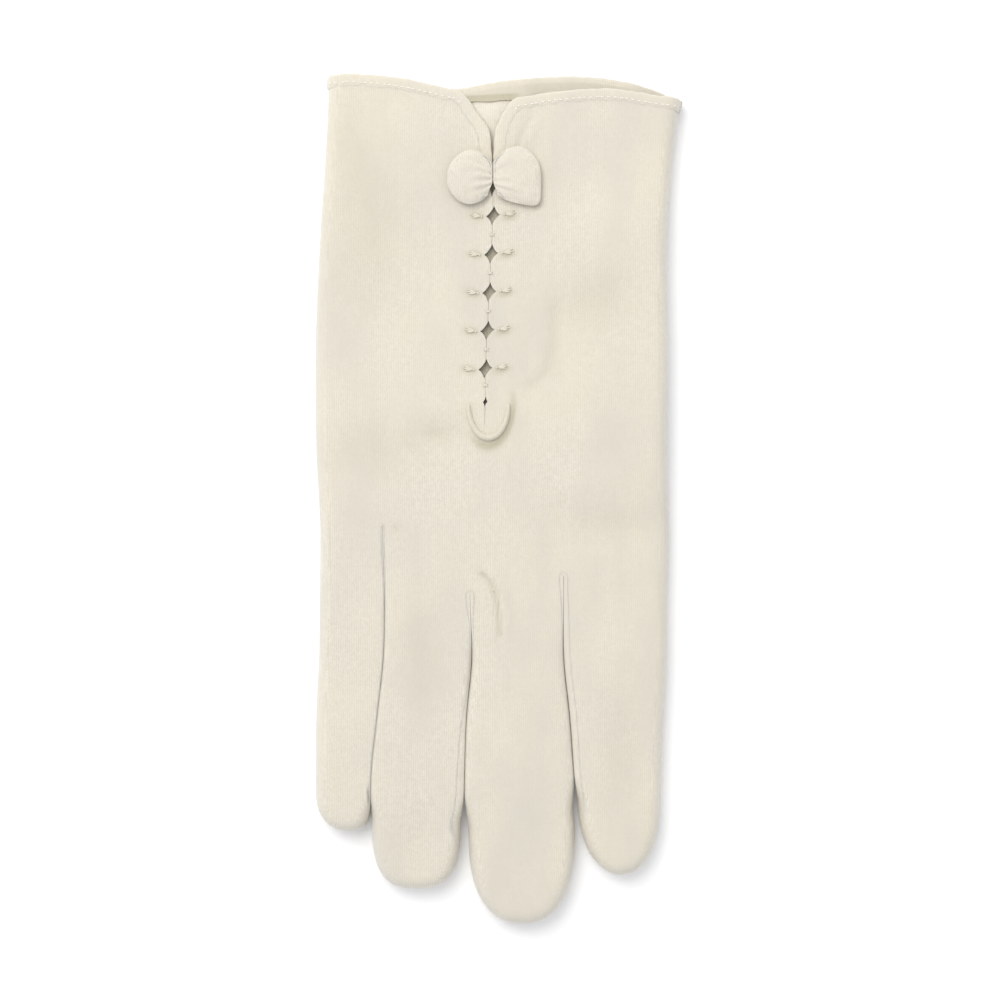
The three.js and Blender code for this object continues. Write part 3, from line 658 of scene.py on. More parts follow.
# %% Folds and dents
DENTS = (  # x, y, spread across, spread along, height
    (-31, 67, 11, 21, -1.05),
    (-38, 92, 7, 12, -0.55),
    (26, 48, 10, 8, -1.15),
    (30, 74, 10, 12, 0.50),
    (30, -7, 15, 6.0, -0.45),
    (22, 3, 12, 6, 0.50),
    (-29, 11, 13, 7, -0.90),
    (-38, -4, 6, 9, 0.45),
    (-6, -10, 12, 8, 0.50),
    (-13, 16, 6, 4, -0.70),
    (-18, -42, 5, 12, -0.90),
    (32, -62, 5, 14, -0.60),
    (-20, -84, 5, 8, -0.50),
    (8, 50, 4, 22, -0.30),
)
FOLDS = (  # points of the line, width, depth
    (((9.5, 97.0), (6.0, 90.5), (4.8, 85.5)), 0.9, -0.26),
    (((12.0, 97.5), (8.6, 91.0), (7.4, 86.0)), 1.2, 0.20),
    (((-4.8, -18.0), (-1.2, -21.5), (0.4, -27.0), (1.0, -36.0)), 0.75, -0.75),
    (((-3.4, -16.6), (0.4, -20.6), (2.0, -27.0), (2.4, -35.0)), 1.1, 0.30),
    (((14.6, 52.0), (14.2, 38.0), (12.0, 31.0), (5.0, 26.0)), 1.7, -0.34),
    (((-39.0, 100.0), (-33.0, 76.0), (-26.0, 44.0)), 4.5, -0.15),
    (((17.5, -2.5), (28.0, -7.0), (40.0, -5.0)), 3.0, -0.12),
    (((-27.5, -7.6), (-25.0, -8.0), (-23.0, -9.5)), 1.1, -0.45),
    (((-9.5, 15.0), (-16.0, 16.0), (-21.0, 14.5)), 1.8, -0.25),
)
print(len(DENTS), "dents and", len(FOLDS), "folds")

# %% [markdown]
# ## The back's relief
#
# Slow noise of three sizes adds the waves that any cloth has, and the cloth swells a little along the
# slit, where it is drawn together. All of it adds up to one height for each place on the back.

# %% Relief
FOLD_POINTS, FOLD_END = 24, 3  # points of a fold's line; its ends fade over three of its widths
SLIT_RIDGE = {"half_width": 1.7, "height": 0.26, "top": 82.0, "foot": 20.0, "ramp": 5.0}
WAVES = ((34.0, 0.60), (13.0, 0.22), (5.5, 0.06))  # length and height of the slow waves
WAVE_STRETCH = 1.35  # they are longer along the hand than across it
WAVE_SEED = 7.3


def waves(x, y):
    found = np.zeros(len(x))
    for length, height in WAVES:
        found += [height * noise.noise(Vector((a / length, b / (WAVE_STRETCH * length), WAVE_SEED + length)))
                  for a, b in zip(x, y)]
    return found


def dents(x, y):
    found = np.zeros(len(x))
    for dent_x, dent_y, across, along, height in DENTS:
        found += height * np.exp(-(((x - dent_x) / across) ** 2) - ((y - dent_y) / along) ** 2)
    return found


def folds(x, y):
    found = np.zeros(len(x))
    for points, width, depth in FOLDS:
        away = distance_to(round_line(points, FOLD_POINTS), x, y)
        from_first, from_last = (np.hypot(x - end[0], y - end[1]) for end in (points[0], points[-1]))
        fade = smooth(np.minimum(from_first, from_last) / (FOLD_END * width))
        found += depth * np.exp(-((away / width) ** 2)) * fade
    return found


def back_relief(x, y):
    found = waves(x, y) + dents(x, y) + folds(x, y)
    from_foot, from_top = y - SLIT_RIDGE["foot"], SLIT_RIDGE["top"] - y
    along = smooth(from_foot / SLIT_RIDGE["ramp"]) * smooth(from_top / SLIT_RIDGE["ramp"])
    found += SLIT_RIDGE["height"] * along * np.exp(-(((x - slit_x(y)) / SLIT_RIDGE["half_width"]) ** 2))
    return found


print("waves of", [length for length, height in WAVES], "mm")

# %% [markdown]
# ## Painted shade
#
# The hollows, the places below the picots and the crescent's lower right get painted shade, a duller colour
# for the shade that falls there. One function says how much, from 0 to 1, for any place on the back.

# %% Painted shade
SHADE_IN_DENTS, SHADE_IN_FOLDS = 0.15, 0.45  # for each millimetre of depth
# painted shadows: a streak below each picot and a line along the crescent's lower right
PICOT_PAINTED_SHADOW = {"out": 4.1, "below": 0.5, "tilt": 0.16, "half_length": 1.8, "half_width": 0.85,
                "share": 0.95}
CRESCENT_PAINTED_SHADOW = {"reach": 1.25, "half_width": 0.14, "share": 0.95, "ramp": 9.0}


def streak(x, y, half_length, half_width):
    return np.exp(-((x / half_length) ** 2) - (y / half_width) ** 2)


def painted_shade(x, y):
    """How much shade is painted on the back at a place: in its hollows, below the picots and at the
    crescent's lower right.
    """
    found = SHADE_IN_DENTS * np.maximum(-dents(x, y), 0) + SHADE_IN_FOLDS * np.maximum(-folds(x, y), 0)
    size = PICOT_PAINTED_SHADOW["half_length"], PICOT_PAINTED_SHADOW["half_width"]
    for middle_x, middle_y in DIAMONDS:
        for which in (-1, 1):
            out = which * (x - middle_x) - PICOT_PAINTED_SHADOW["out"]
            up = y - middle_y + PICOT_PAINTED_SHADOW["below"] - PICOT_PAINTED_SHADOW["tilt"] * (out + size[0])
            found += PICOT_PAINTED_SHADOW["share"] * streak(out, up, *size)
    from_x, from_y = x - CRESCENT["x"], y - CRESCENT["y"]
    from_middle = np.hypot(from_x / CRESCENT["half_width"], from_y / CRESCENT["depth"])
    ring = np.exp(-(((from_middle - CRESCENT_PAINTED_SHADOW["reach"]) / CRESCENT_PAINTED_SHADOW["half_width"]) ** 2))
    lower_right = smooth((x - CRESCENT["x"] + CRESCENT["y"] - y) / CRESCENT_PAINTED_SHADOW["ramp"])
    found += CRESCENT_PAINTED_SHADOW["share"] * ring * lower_right
    return np.clip(found, 0, 1)


print("dusk in the deepest dent:", round(-SHADE_IN_DENTS * min(dent[-1] for dent in DENTS), 2))

# %% [markdown]
# ## Heights
#
# Between two fingers the back stays high, because the fork's cloth is pressed together there and fills
# the gap: only a groove shows, shallow at the crotch and deeper below. With that, one function gives the
# height of each layer at any place, and every other piece is laid on the cloth by asking it.

# %% Heights
BELLY, BELLY_AT_CUFF = 2.9, 2.5
BELLY_FADE = {"from": 84.0, "length": 14.0}
BACK_LIFT = 0.35  # share of the thumb's lift that still shows on the back
GROOVE_AT_CROTCH, GROOVE_OPEN = 0.35, 2.6  # depth of the groove between two fingers
GROOVE_PLATEAU, GROOVE_RAMP = 2.5, 4.5
GROOVE_FADE = (6.5, 10.0, 10.0)  # length over which a groove turns into the free sides of the fingertips
GROOVE_LAST = (7.0, 3.5, 3.5)  # how far below the rounded tips it still lasts


def side_height(x, y):
    """Height at which the back starts to round over: low at the free sides, high between two fingers."""
    height = np.full(len(x), SIDE_HEIGHT)
    for gap, crotch in enumerate(CROTCH_Y):
        groove = GROOVE_AT_CROTCH + (GROOVE_OPEN - GROOVE_AT_CROTCH) * gap_opening(gap, y)
        away = np.hypot(x - line_x(gap + 1, np.minimum(y, crotch)), np.maximum(y - crotch, 0))
        near = 1 - smooth((away - GROOVE_PLATEAU) / GROOVE_RAMP)
        fade = smooth((y - max(TIP_START[gap:gap + 2]) + GROOVE_LAST[gap]) / GROOVE_FADE[gap])
        height += near * fade * (CROWN - groove)
    return height


def cloth_height(side, x, y, depth):
    """Height of a layer's outer face above the table."""
    share = rounded(side, depth / ROUND[side])
    if side == BACK:
        low = side_height(x, y)
        return (low + (SIDE_HEIGHT + CROWN - low) * share + thumb_lift(x, y) * (1 - share * (1 - BACK_LIFT))
                + back_relief(x, y) * share)
    at_cuff = smooth((y - BELLY_FADE["from"]) / BELLY_FADE["length"])
    belly = BELLY + (BELLY_AT_CUFF - BELLY) * at_cuff
    return SIDE_HEIGHT - belly * share + palm_lift(x, y, share)


def face_height(side, x, y):
    """The same at any place inside the outline."""
    x, y = np.atleast_1d(np.asarray(x, float)), np.atleast_1d(np.asarray(y, float))
    return cloth_height(side, x, y, distance_to(OUTLINE, x, y))


print("the back above the thumb is", round(float(face_height(BACK, 26, 35)[0]), 1), "mm high")

# %% [markdown]
# ## From a grid to a panel
#
# Every cloth piece starts as a plain grid, and the pattern says where each of its points lies. That is
# how a tailor thinks too: warp and weft first, shape second. The finished mesh is moved from the
# pattern's millimetres to the frame's metres, and gets its material.

# %% Grids and meshes
MERGE_DISTANCE = 0.004
SHARP = np.radians(50)  # edges that bend more than this stay crisp


def laid_grid(bm, along, across, place):
    """Adds a grid and lays its points where place(u, v) says, with u and v from 0 to 1."""
    made = bmesh.ops.create_grid(bm, x_segments=along, y_segments=across, size=0.5)["verts"]
    u = np.rint([(vert.co.x + 0.5) * along for vert in made]) / along
    v = np.rint([(vert.co.y + 0.5) * across for vert in made]) / across
    for vert, spot in zip(made, place(u, v)):
        vert.co = spot
    return made


def merge(bm):
    bmesh.ops.remove_doubles(bm, verts=bm.verts[:], dist=MERGE_DISTANCE)
    bmesh.ops.dissolve_degenerate(bm, edges=bm.edges[:], dist=MERGE_DISTANCE / 4)


def into_frame(name, bm):
    """Moves a bmesh from the pattern's millimetres to the frame's metres and makes it an object."""
    bmesh.ops.translate(bm, verts=bm.verts[:], vec=(*SHIFT, 0))
    bmesh.ops.scale(bm, verts=bm.verts[:], vec=(MM, MM, MM))
    mesh = bpy.data.meshes.new(name)
    bm.to_mesh(mesh)
    bm.free()
    made = bpy.data.objects.new(name, mesh)
    bpy.context.scene.collection.objects.link(made)
    return made


def triangles_of(piece):
    return sum(len(face.vertices) - 2 for face in piece.data.polygons)


def finished(name, bm, material):
    """Moves a bmesh to the frame, shades it smooth and gives it its material."""
    for face in bm.faces:
        face.smooth = True
    piece = into_frame(name, bm)
    piece.data.set_sharp_from_angle(angle=SHARP)
    piece.data.materials.append(material)
    print(f"{name}: {triangles_of(piece)} triangles")
    return piece


print("points closer than", MERGE_DISTANCE, "mm are merged")

# %% [markdown]
# ## Where a panel's strips run
#
# A panel is four strips, one for each finger, welded along the grain lines above the crotches. Below
# its crotch a strip's edge leaves the grain line in a small arc and follows the seam with the fork. The
# seam stands at its own angle up each finger's side: on the index finger's inner side and near the
# ring finger's tip the fork rolls into sight, elsewhere it hides in the gap.

# %% Seams of the forks
CROTCH_ANGLES = (30.0, 52.0, 52.0)  # for each gap, how far up the side the seams stand at the crotch
BACK_SEAMS = {  # finger and side: y, and the angle up the rounded side at which the seam stands there
    (0, 1): ((-7, -18, -30, -72), (34, 26, 20, 20)),
    (1, -1): ((-7, -18, -30, -84), (34, 26, 20, 20)),
    (1, 1): ((-24, -36, -48, -60, -84), (40, 30, 34, 60, 74)),
    (2, -1): ((-24, -32, -40, -88), (44, 34, 20, 20)),
    (2, 1): ((-19, -28, -36, -88), (44, 34, 20, 20)),
    (3, -1): ((-19, -32, -60, -80), (44, 60, 64, 58)),
}
PALM_SEAM_ANGLE = 30.0
CROTCH_FADE = 8.0  # distance from the crotch over which a seam takes its own angle
TIP_FADE = 0.74  # share of the tip's length at which the seams have come down to the outline


def seam_angle(side, finger, which, y):
    """The seam's angle at y: one value at the crotch, where both seams meet, and none at the tip."""
    gap = gap_beside(finger, which)
    angle = PALM_SEAM_ANGLE if side == PALM else curve_through(*BACK_SEAMS[finger, which], y)
    near = 1 - smooth((CROTCH_Y[gap] - y) / CROTCH_FADE)
    down = 1 - smooth(tip_share(finger, y) / TIP_FADE)
    return (angle * (1 - near) + CROTCH_ANGLES[gap] * near) * down


def crotch_radius(side, gap):
    """Radius of the arc in which the two seams of a fork meet above the crotch."""
    return CLOSED_GAP / 2 + inset_at(side, CROTCH_ANGLES[gap])


def tip_outward(finger, across, tip):
    """Direction straight out of the outline round a fingertip; across and tip lie on its round."""
    half = (finger_side(finger, 1, TIP_START[finger]) - finger_side(finger, -1, TIP_START[finger])) / 2
    power = TIP_POWER[finger] - 1
    out_x = np.sign(across) * np.abs(across) ** power / half
    out_y = -(np.abs(tip) ** power) / TIP_LENGTH[finger]
    length = np.maximum(np.hypot(out_x, out_y), 1e-9)
    return out_x / length, out_y / length


def seam_on_side(side, finger, which, y, share=1.0):
    """x, depth and outward direction of a place on the rounded side, at a share of the seam's angle."""
    y = np.asarray(y, float)
    tip = tip_share(finger, y)
    narrowing = narrowed(finger, tip)
    inset = inset_at(side, share * seam_angle(side, finger, which, y)) * narrowing
    out_x, out_y = tip_outward(finger, which * narrowing, tip)
    out_x, out_y = np.where(tip > 0, out_x, which), np.where(tip > 0, out_y, 0)
    return finger_side(finger, which, y) - which * inset, inset * np.abs(out_x), out_x, out_y


print("radius of the back's seams at each crotch:", [round(crotch_radius(BACK, gap), 2) for gap in range(3)])

# %% [markdown]
# ## Columns
#
# The rounded side is steep, so a grid that is even in plan would be coarse there. The columns are spread
# evenly along the cloth itself, up the side and over the crown.

# %% Columns
STRIP_COLUMNS = 36
HALF_STRIP = 11.0
FORK_CROWDING, CROWDING_RAMP = 0.7, 8  # at a fork the columns crowd less, but again near the tip
GRAIN_RAMP = 12  # how far above a crotch the columns become even


def even_along_cloth(reach, steps):
    """Depths from the outline that are evenly spread along the cloth's own rounded section."""
    samples = 4000
    depth = reach * np.linspace(0, 1, samples) ** 3
    height = CROWN * rounded(BACK, depth / ROUND[BACK])
    along = np.concatenate([[0], np.cumsum(np.hypot(np.diff(depth), np.diff(height)))])
    return np.interp(np.linspace(0, along[-1], steps + 1), along, depth)


HALF_SHARES = even_along_cloth(HALF_STRIP, STRIP_COLUMNS // 2) / HALF_STRIP


def crowded(u, left, right):
    """Shares across a strip, crowded towards its rounded edges as far as left and right say."""
    halves = np.linspace(0, 1, len(HALF_SHARES))
    to_left = np.where(u < 0.5, np.interp(2 * u, halves, HALF_SHARES) / 2, u)
    to_right = np.where(u > 0.5, 1 - np.interp(2 - 2 * u, halves, HALF_SHARES) / 2, u)
    return u + left * (to_left - u) + right * (to_right - u)


def edge_crowding(finger, which, y):
    """1 where a strip's edge is a bare rounded side, less at a fork, 0 at a grain line in the hand."""
    gap = gap_beside(finger, which)
    if side_is_free(finger, which):
        return np.ones(np.shape(y))
    near_tip = smooth((TIP_START[finger] + CROWDING_RAMP - y) / CROWDING_RAMP)
    at_fork = FORK_CROWDING + (1 - FORK_CROWDING) * near_tip
    return at_fork * (1 - smooth((y - CROTCH_Y[gap]) / GRAIN_RAMP))


print("the first column is", round(HALF_SHARES[1] * HALF_STRIP, 3), "mm wide in plan")

# %% [markdown]
# ## Rows
#
# Above the crotches the four strips share their rows, so that their edges can be welded. Each strip then
# has rows of its own down the free finger, and the rows of the fingertip are spread along the cloth.

# %% Rows
ROW_STEP = 0.85
ARC_SHARES = (1, 0.92, 0.7, 0.38, 0)  # heights of the rows that cross the arc above a crotch
EXTRA_TIP_ROWS = 5


def hand_rows(side):
    """y of the rows that the four strips share, from the lowest crotch up to the cuff."""
    rows = [CUFF_LEVEL]
    for gap in np.argsort(CROTCH_Y)[::-1]:
        for share in ARC_SHARES:
            lower = CROTCH_Y[gap] + crotch_radius(side, gap) * share
            steps = max(1, round((rows[-1] - lower) / ROW_STEP))
            rows += list(np.linspace(rows[-1], lower, steps + 1)[1:])
    return np.array(rows[::-1])


def strip_rows(side, finger):
    """y of all rows of a strip from the tip up, and their share of the rounded tip."""
    shared, start, length = hand_rows(side), TIP_START[finger], TIP_LENGTH[finger]
    free = np.linspace(start, shared[0], round((shared[0] - start) / ROW_STEP) + 1)[:-1]
    tip = 1 - even_along_cloth(length, round(length / ROW_STEP) + EXTRA_TIP_ROWS)[:-1] / length
    y = np.concatenate([start - length * tip, free, shared])
    return y, np.concatenate([tip, np.zeros(len(free) + len(shared))])


def strip_edge(side, finger, which, y):
    """x of a strip's left or right edge, down to where the fingertip starts."""
    gap = gap_beside(finger, which)
    if side_is_free(finger, which):
        return finger_side(finger, which, y)
    crotch, radius = CROTCH_Y[gap], crotch_radius(side, gap)
    arc = np.sqrt(np.maximum(radius**2 - np.maximum(y - crotch, 0) ** 2, 0))
    above = line_x(gap + 1, np.where(y > crotch + radius, y, crotch)) - which * arc
    return np.where(y >= crotch, above, seam_on_side(side, finger, which, y)[0])


print("columns and rows of the middle finger's strip:", STRIP_COLUMNS, len(strip_rows(BACK, 2)[0]))

# %% [markdown]
# ## The edge at the cuff and the fingertips
#
# At the cuff the back and the palm have edges of their own, which meet at the side seams. At the
# fingertip straight rows would all end in one needle, so there the square grid is pressed into the round
# of the tip as a net is pressed into a bowl, which keeps its meshes even.

# %% Cuff and fingertips
SIDES_MEET = 7.0  # distance from a side seam over which the two layers' edges come together


def cuff_y(side, x):
    """y of a layer's edge at the cuff. The two layers meet at the side seams."""
    own, other = (curve_through(CUFF_X, CUFF_Y[layer], x) for layer in (side, -side))
    from_side = np.minimum(x - line_x(0, CUFF_LEVEL), line_x(4, CUFF_LEVEL) - x)
    return own + (other - own) / 2 * (1 - smooth(from_side / SIDES_MEET))


def squarish_reach(angle, power):
    """Reach of a squarish round at an angle: power 2 is a circle, and 1 a diamond."""
    return (np.abs(np.cos(angle)) ** power + np.abs(np.sin(angle)) ** power) ** (-1 / power)


def pressed_into_tip(side, finger, across, tip):
    """Presses the square end of a strip into the round of its fingertip."""
    start = TIP_START[finger]
    left, right = (finger_side(finger, which, start) for which in (-1, 1))
    half = (right - left) / 2
    bowl_x, bowl_y = across * np.sqrt(1 - tip**2 / 2), tip * np.sqrt(1 - across**2 / 2)
    reach = squarish_reach(np.arctan2(bowl_y, bowl_x), TIP_POWER[finger])
    bowl_x, bowl_y = bowl_x * reach, bowl_y * reach
    y = start - TIP_LENGTH[finger] * bowl_y
    middle = (left + right) / 2 * (1 - bowl_y**2) + TIP_APEX_X[finger] * bowl_y**2
    insets = [half * 0 if side_is_free(finger, which) else inset_at(side, seam_angle(side, finger, which, y))
              for which in (-1, 1)]
    return middle + bowl_x * (half - np.where(bowl_x < 0, *insets)), y, *tip_outward(finger, bowl_x, bowl_y)


print("the cuff's edge at the middle:", [round(float(cuff_y(side, 0)), 1) for side in (BACK, PALM)])

# %% [markdown]
# ## Seams dip
#
# A seam pulls the cloth in, so the last points along it are moved inwards, at right angles to the face.
# Towards the crotches that dip fades away.

# %% Dip
SEAM_DIP = 0.06
DIP_FADE = 8.0  # towards a crotch the seam's line fades away


def seam_dip(x, y):
    dip = np.full(len(x), SEAM_DIP)
    for gap, crotch in enumerate(CROTCH_Y):
        near = np.abs(x - line_x(gap + 1, crotch)) < DIP_FADE
        dip = dip * (1 - near * smooth((y - crotch + DIP_FADE) / DIP_FADE))
    return dip


def dipped(side, x, y, depth, out_x, out_y):
    """A point of a seam, pulled in from the cloth's face at right angles to it."""
    share = depth / ROUND[side]
    flat = (1 - np.clip(share, 0, 1)) ** (FLATNESS[side] - 1)
    steep = FLATNESS[side] * flat / (2 * np.maximum(rounded(side, share), 1e-6))
    rise = SIDE_HEIGHT + CROWN - side_height(x, y) if side == BACK else BELLY
    steep = steep * rise / ROUND[side]
    outwards, upwards = steep / np.hypot(steep, 1), 1 / np.hypot(steep, 1)
    dip = seam_dip(x, y)
    z = cloth_height(side, x, y, depth) - side * dip * upwards
    return np.stack([x - dip * outwards * out_x, y - dip * outwards * out_y, z], 1)


print("a seam lies", SEAM_DIP, "mm deep")

# %% [markdown]
# ## A panel's points
#
# All of this comes together here. Rows run straight across the hand and bend only near the cuff, to
# follow its edge. The points on a seam get their exact place, because the fork has to meet them there.

# %% Panels
CUFF_ROWS_FROM = 62.0  # from here up the rows bend to follow the cuff's edge
EDGE_IN_HEM = 0.9  # how far past the pattern's edge the cloth runs on inside the hem


def strip_place(side, finger):
    """Says where the points of one strip lie."""
    rows, tips = strip_rows(side, finger)
    last = len(rows) - 1

    def place(u, v):
        row = np.rint(v * last).astype(int)
        y, tip = rows[row], tips[row]
        on_edge = np.maximum(y, TIP_START[finger])
        left, right = (strip_edge(side, finger, which, on_edge) for which in (-1, 1))
        across = crowded(u, *(edge_crowding(finger, which, y) for which in (-1, 1)))
        x = left + across * (right - left)
        bend = smooth((y - CUFF_ROWS_FROM) / (CUFF_LEVEL - CUFF_ROWS_FROM))
        y = y + bend * (cuff_y(side, x) + EDGE_IN_HEM - CUFF_LEVEL)
        on_edge = np.maximum(y, TIP_START[finger])
        left, right = (strip_edge(side, finger, which, on_edge) for which in (-1, 1))
        x = left + across * (right - left)
        tip_x, tip_y, out_x, out_y = pressed_into_tip(side, finger, 2 * across - 1, tip)
        x, y = np.where(tip > 0, tip_x, x), np.where(tip > 0, tip_y, y)
        out_x, out_y = np.where(tip > 0, out_x, np.where(u < 0.5, -1, 1)), np.where(tip > 0, out_y, 0)
        depth = distance_to(OUTLINE, x, y)
        x, depth, out_x, out_y, seam = rim(side, finger, u, row, x, y, depth, out_x, out_y)
        level = np.stack([x, y, cloth_height(side, x, y, depth)], 1)
        return np.where(seam[:, None], dipped(side, x, y, depth, out_x, out_y), level)

    return place, last


def rim(side, finger, u, row, x, y, depth, out_x, out_y):
    """Gives the points along the seams their exact place and direction."""
    seam = row == 0
    depth = np.where(seam, 0, depth)
    for which, edge in ((-1, u == 0), (1, u == 1)):
        if side_is_free(finger, which):
            x = np.where(edge, finger_side(finger, which, y), x)
            depth = np.where(edge, 0, depth)
            seam = seam | edge
            continue
        gap = gap_beside(finger, which)
        crotch, radius = CROTCH_Y[gap], crotch_radius(side, gap)
        exact, inset, side_out_x, side_out_y = seam_on_side(side, finger, which, y)
        below, arc = edge & (y < crotch), edge & (y >= crotch) & (y <= crotch + radius + 1e-6)
        x, depth = np.where(below, exact, x), np.where(below, inset, depth)
        out_x, out_y = np.where(below, side_out_x, out_x), np.where(below, side_out_y, out_y)
        depth = np.where(arc, inset_at(side, CROTCH_ANGLES[gap]), depth)
        out_x = np.where(arc, (line_x(gap + 1, crotch) - x) / radius, out_x)
        out_y = np.where(arc, (crotch - y) / radius, out_y)
        seam = seam | below | arc
    return x, depth, out_x, out_y, seam


def panel(side):
    bm = bmesh.new()
    for finger in range(4):
        place, last = strip_place(side, finger)
        laid_grid(bm, STRIP_COLUMNS, last, place)
    merge(bm)
    if side == PALM:
        bmesh.ops.reverse_faces(bm, faces=bm.faces[:])
    return bm


print("a panel is", len(CROTCH_Y) + 1, "strips, welded above the crotches")

# %% [markdown]
# ## The V and the diamonds
#
# The V, the slit with its diamonds and the thumb's hole are cut out of the panels. The cutters are
# upright prisms: an outline in plan, drawn up through the glove. A diamond is a circle whose sides are
# pressed inwards.

# %% The V and the diamonds
SLIT_Y = (108.0, 101.0, 99.0, 96.0, 93.5, 91.5, 88.0, 84.5, 81.5)
SLIT_X = {-1: (-20.0, -10.9, -8.9, -7.0, -5.1, -3.85, -3.45, -3.2, -3.15),
          1: (18.5, 8.6, 6.2, 3.8, 2.5, 1.85, 1.5, 1.4, 1.4)}
DIAMOND_HALF = (1.75, 2.45)
DIAMOND_BOW = 0.80  # how far the sides of a diamond bow inwards: 1 is straight, less is hollow
DIAMOND_SKEW = 0.13  # its upper right is pulled outwards, as the photograph shows
LAST_HALF = (0.6, 1.3)
GAPE, GAPE_HALF = (-0.95, 77.7), (0.85, 2.2)  # under the bow's foot the slit gapes a little
V_ROWS, STAR_CORNERS = 24, 24
PRISM_LOW, PRISM_HIGH = -20.0, 40.0


def upright(bm, floor_z=PRISM_LOW):
    """Draws the flat faces of a bmesh up into prisms."""
    drawn = bmesh.ops.extrude_face_region(bm, geom=bm.faces[:], use_keep_orig=True)["geom"]
    tops = [part for part in drawn if isinstance(part, bmesh.types.BMVert)]
    bmesh.ops.translate(bm, verts=tops, vec=(0, 0, PRISM_HIGH - floor_z))
    bmesh.ops.recalc_face_normals(bm, faces=bm.faces[:])


def star_of_four(bm, middle, half):
    """A flat diamond with hollow sides, from a circle."""
    ring = bmesh.ops.create_circle(bm, cap_ends=True, segments=STAR_CORNERS, radius=1)["verts"]
    for vert in ring:
        angle = np.arctan2(vert.co.y, vert.co.x)
        reach = squarish_reach(angle, DIAMOND_BOW)
        x, y = half[0] * reach * np.cos(angle), half[1] * reach * np.sin(angle)
        vert.co = (middle[0] + x + DIAMOND_SKEW * y, middle[1] + y + DIAMOND_SKEW * x, PRISM_LOW)


def wide_openings():
    """The V at the cuff, the five diamonds and the small holes at the slit's head and foot."""
    bm = bmesh.new()

    def v_place(u, v):
        y = SLIT_Y[-1] + v * (SLIT_Y[0] - SLIT_Y[-1])
        left, right = (curve_through(SLIT_Y, SLIT_X[which], y) for which in (-1, 1))
        return np.stack([left + u * (right - left), y, np.full(len(y), PRISM_LOW)], 1)

    laid_grid(bm, 1, V_ROWS, v_place)
    for middle in DIAMONDS:
        star_of_four(bm, middle, DIAMOND_HALF)
    star_of_four(bm, LAST_DIAMOND, LAST_HALF)
    star_of_four(bm, GAPE, GAPE_HALF)
    upright(bm)
    return bm


print("the V and", DIAMOND_COUNT, "diamonds, each", 2 * DIAMOND_HALF[1], "mm high")

# %% [markdown]
# ## The closed slit and the thumb's hole
#
# Between the diamonds the slit is closed, so it is only a hair-fine groove that follows the cloth. The
# thumb's hole is a plain oval under the palm, and the same shape opens the thumb's upper layer.

# %% The slit and the thumb's hole
SLIT_WIDTH, SLIT_DEPTH, SLIT_ROWS = 0.14, 0.2, 80
THUMB_HOLE = {"along": 16, "half_length": 9.5, "half_width": 7}
HOLE_CORNERS = 28


def closed_slit():
    """The hair-fine groove along which the two edges of the slit meet."""
    bm = bmesh.new()

    def line_place(u, v):
        y = SLIT_FOOT[1] + v * (SLIT_HEAD[1] - SLIT_FOOT[1])
        x, z = slit_x(y), face_height(BACK, slit_x(y), y) - SLIT_DEPTH
        return np.stack([x + (u - 0.5) * SLIT_WIDTH, y, z], 1)

    laid_grid(bm, 1, SLIT_ROWS, line_place)
    upright(bm)
    return bm


def thumb_hole(floor_z):
    bm = bmesh.new()
    ring = bmesh.ops.create_circle(bm, cap_ends=True, segments=HOLE_CORNERS, radius=1)["verts"]
    for vert in ring:
        along = THUMB_ALONG * (THUMB_HOLE["along"] + THUMB_HOLE["half_length"] * vert.co.x)
        spot = THUMB_BASE + along + THUMB_ACROSS * THUMB_HOLE["half_width"] * vert.co.y
        vert.co = (*spot, floor_z)
    upright(bm, floor_z)
    return bm


print("the slit is", SLIT_WIDTH, "mm wide and", SLIT_DEPTH, "mm deep")

# %% [markdown]
# ## Walls
#
# A panel is modelled as a bare sheet. A Solidify modifier gives the sheet its wall, inwards from the face
# that shows, and a Boolean cuts the openings through it. Both are applied, so that the piece is one plain
# closed mesh. Painted shade is written on its points as an attribute, so it stays with the cloth.

# %% Walls
WALL = 0.8
# painted shade on the palm under the slit: its share, where it ends, and how far it reaches across
PALM_PAINTED_SHADE = {"share": 0.5, "top": 86.0, "foot": 15.0, "half_width": 8.0, "fade_across": 4.0, "fade": 5.0}


def walled(piece, thickness, *shapes):
    """Gives a sheet its wall, cuts the shapes through it, and applies both."""
    wall = piece.modifiers.new("wall", "SOLIDIFY")
    wall.thickness, wall.offset = thickness * MM, -1
    cutters = [into_frame("cutter", shape) for shape in shapes]
    for cutter in cutters:
        cut = piece.modifiers.new("cut", "BOOLEAN")
        cut.operation, cut.solver, cut.object = "DIFFERENCE", "EXACT", cutter
    sheet, name = piece.data, piece.data.name
    piece.data = bpy.data.meshes.new_from_object(piece.evaluated_get(bpy.context.evaluated_depsgraph_get()))
    piece.modifiers.clear()
    bpy.data.meshes.remove(sheet)
    piece.data.name = name
    for cutter in cutters:
        bpy.data.objects.remove(cutter)
    piece.data.set_sharp_from_angle(angle=SHARP)
    print(f"{piece.name}: {triangles_of(piece)} triangles with its wall")
    return piece


def paint_shade(piece, shade_at):
    """Writes the painted shade of every point of a piece as an attribute, which the jersey reads."""
    spots = np.empty(len(piece.data.vertices) * 3)
    piece.data.vertices.foreach_get("co", spots)
    x, y, z = spots.reshape(-1, 3).T / MM
    share = shade_at(x - SHIFT[0], y - SHIFT[1])
    piece.data.attributes.new(PAINTED_SHADE_ATTRIBUTE, "FLOAT", "POINT").data.foreach_set("value", share)
    print(f"{piece.name}: dusk up to {share.max():.2f}, {share.mean():.3f} on average")


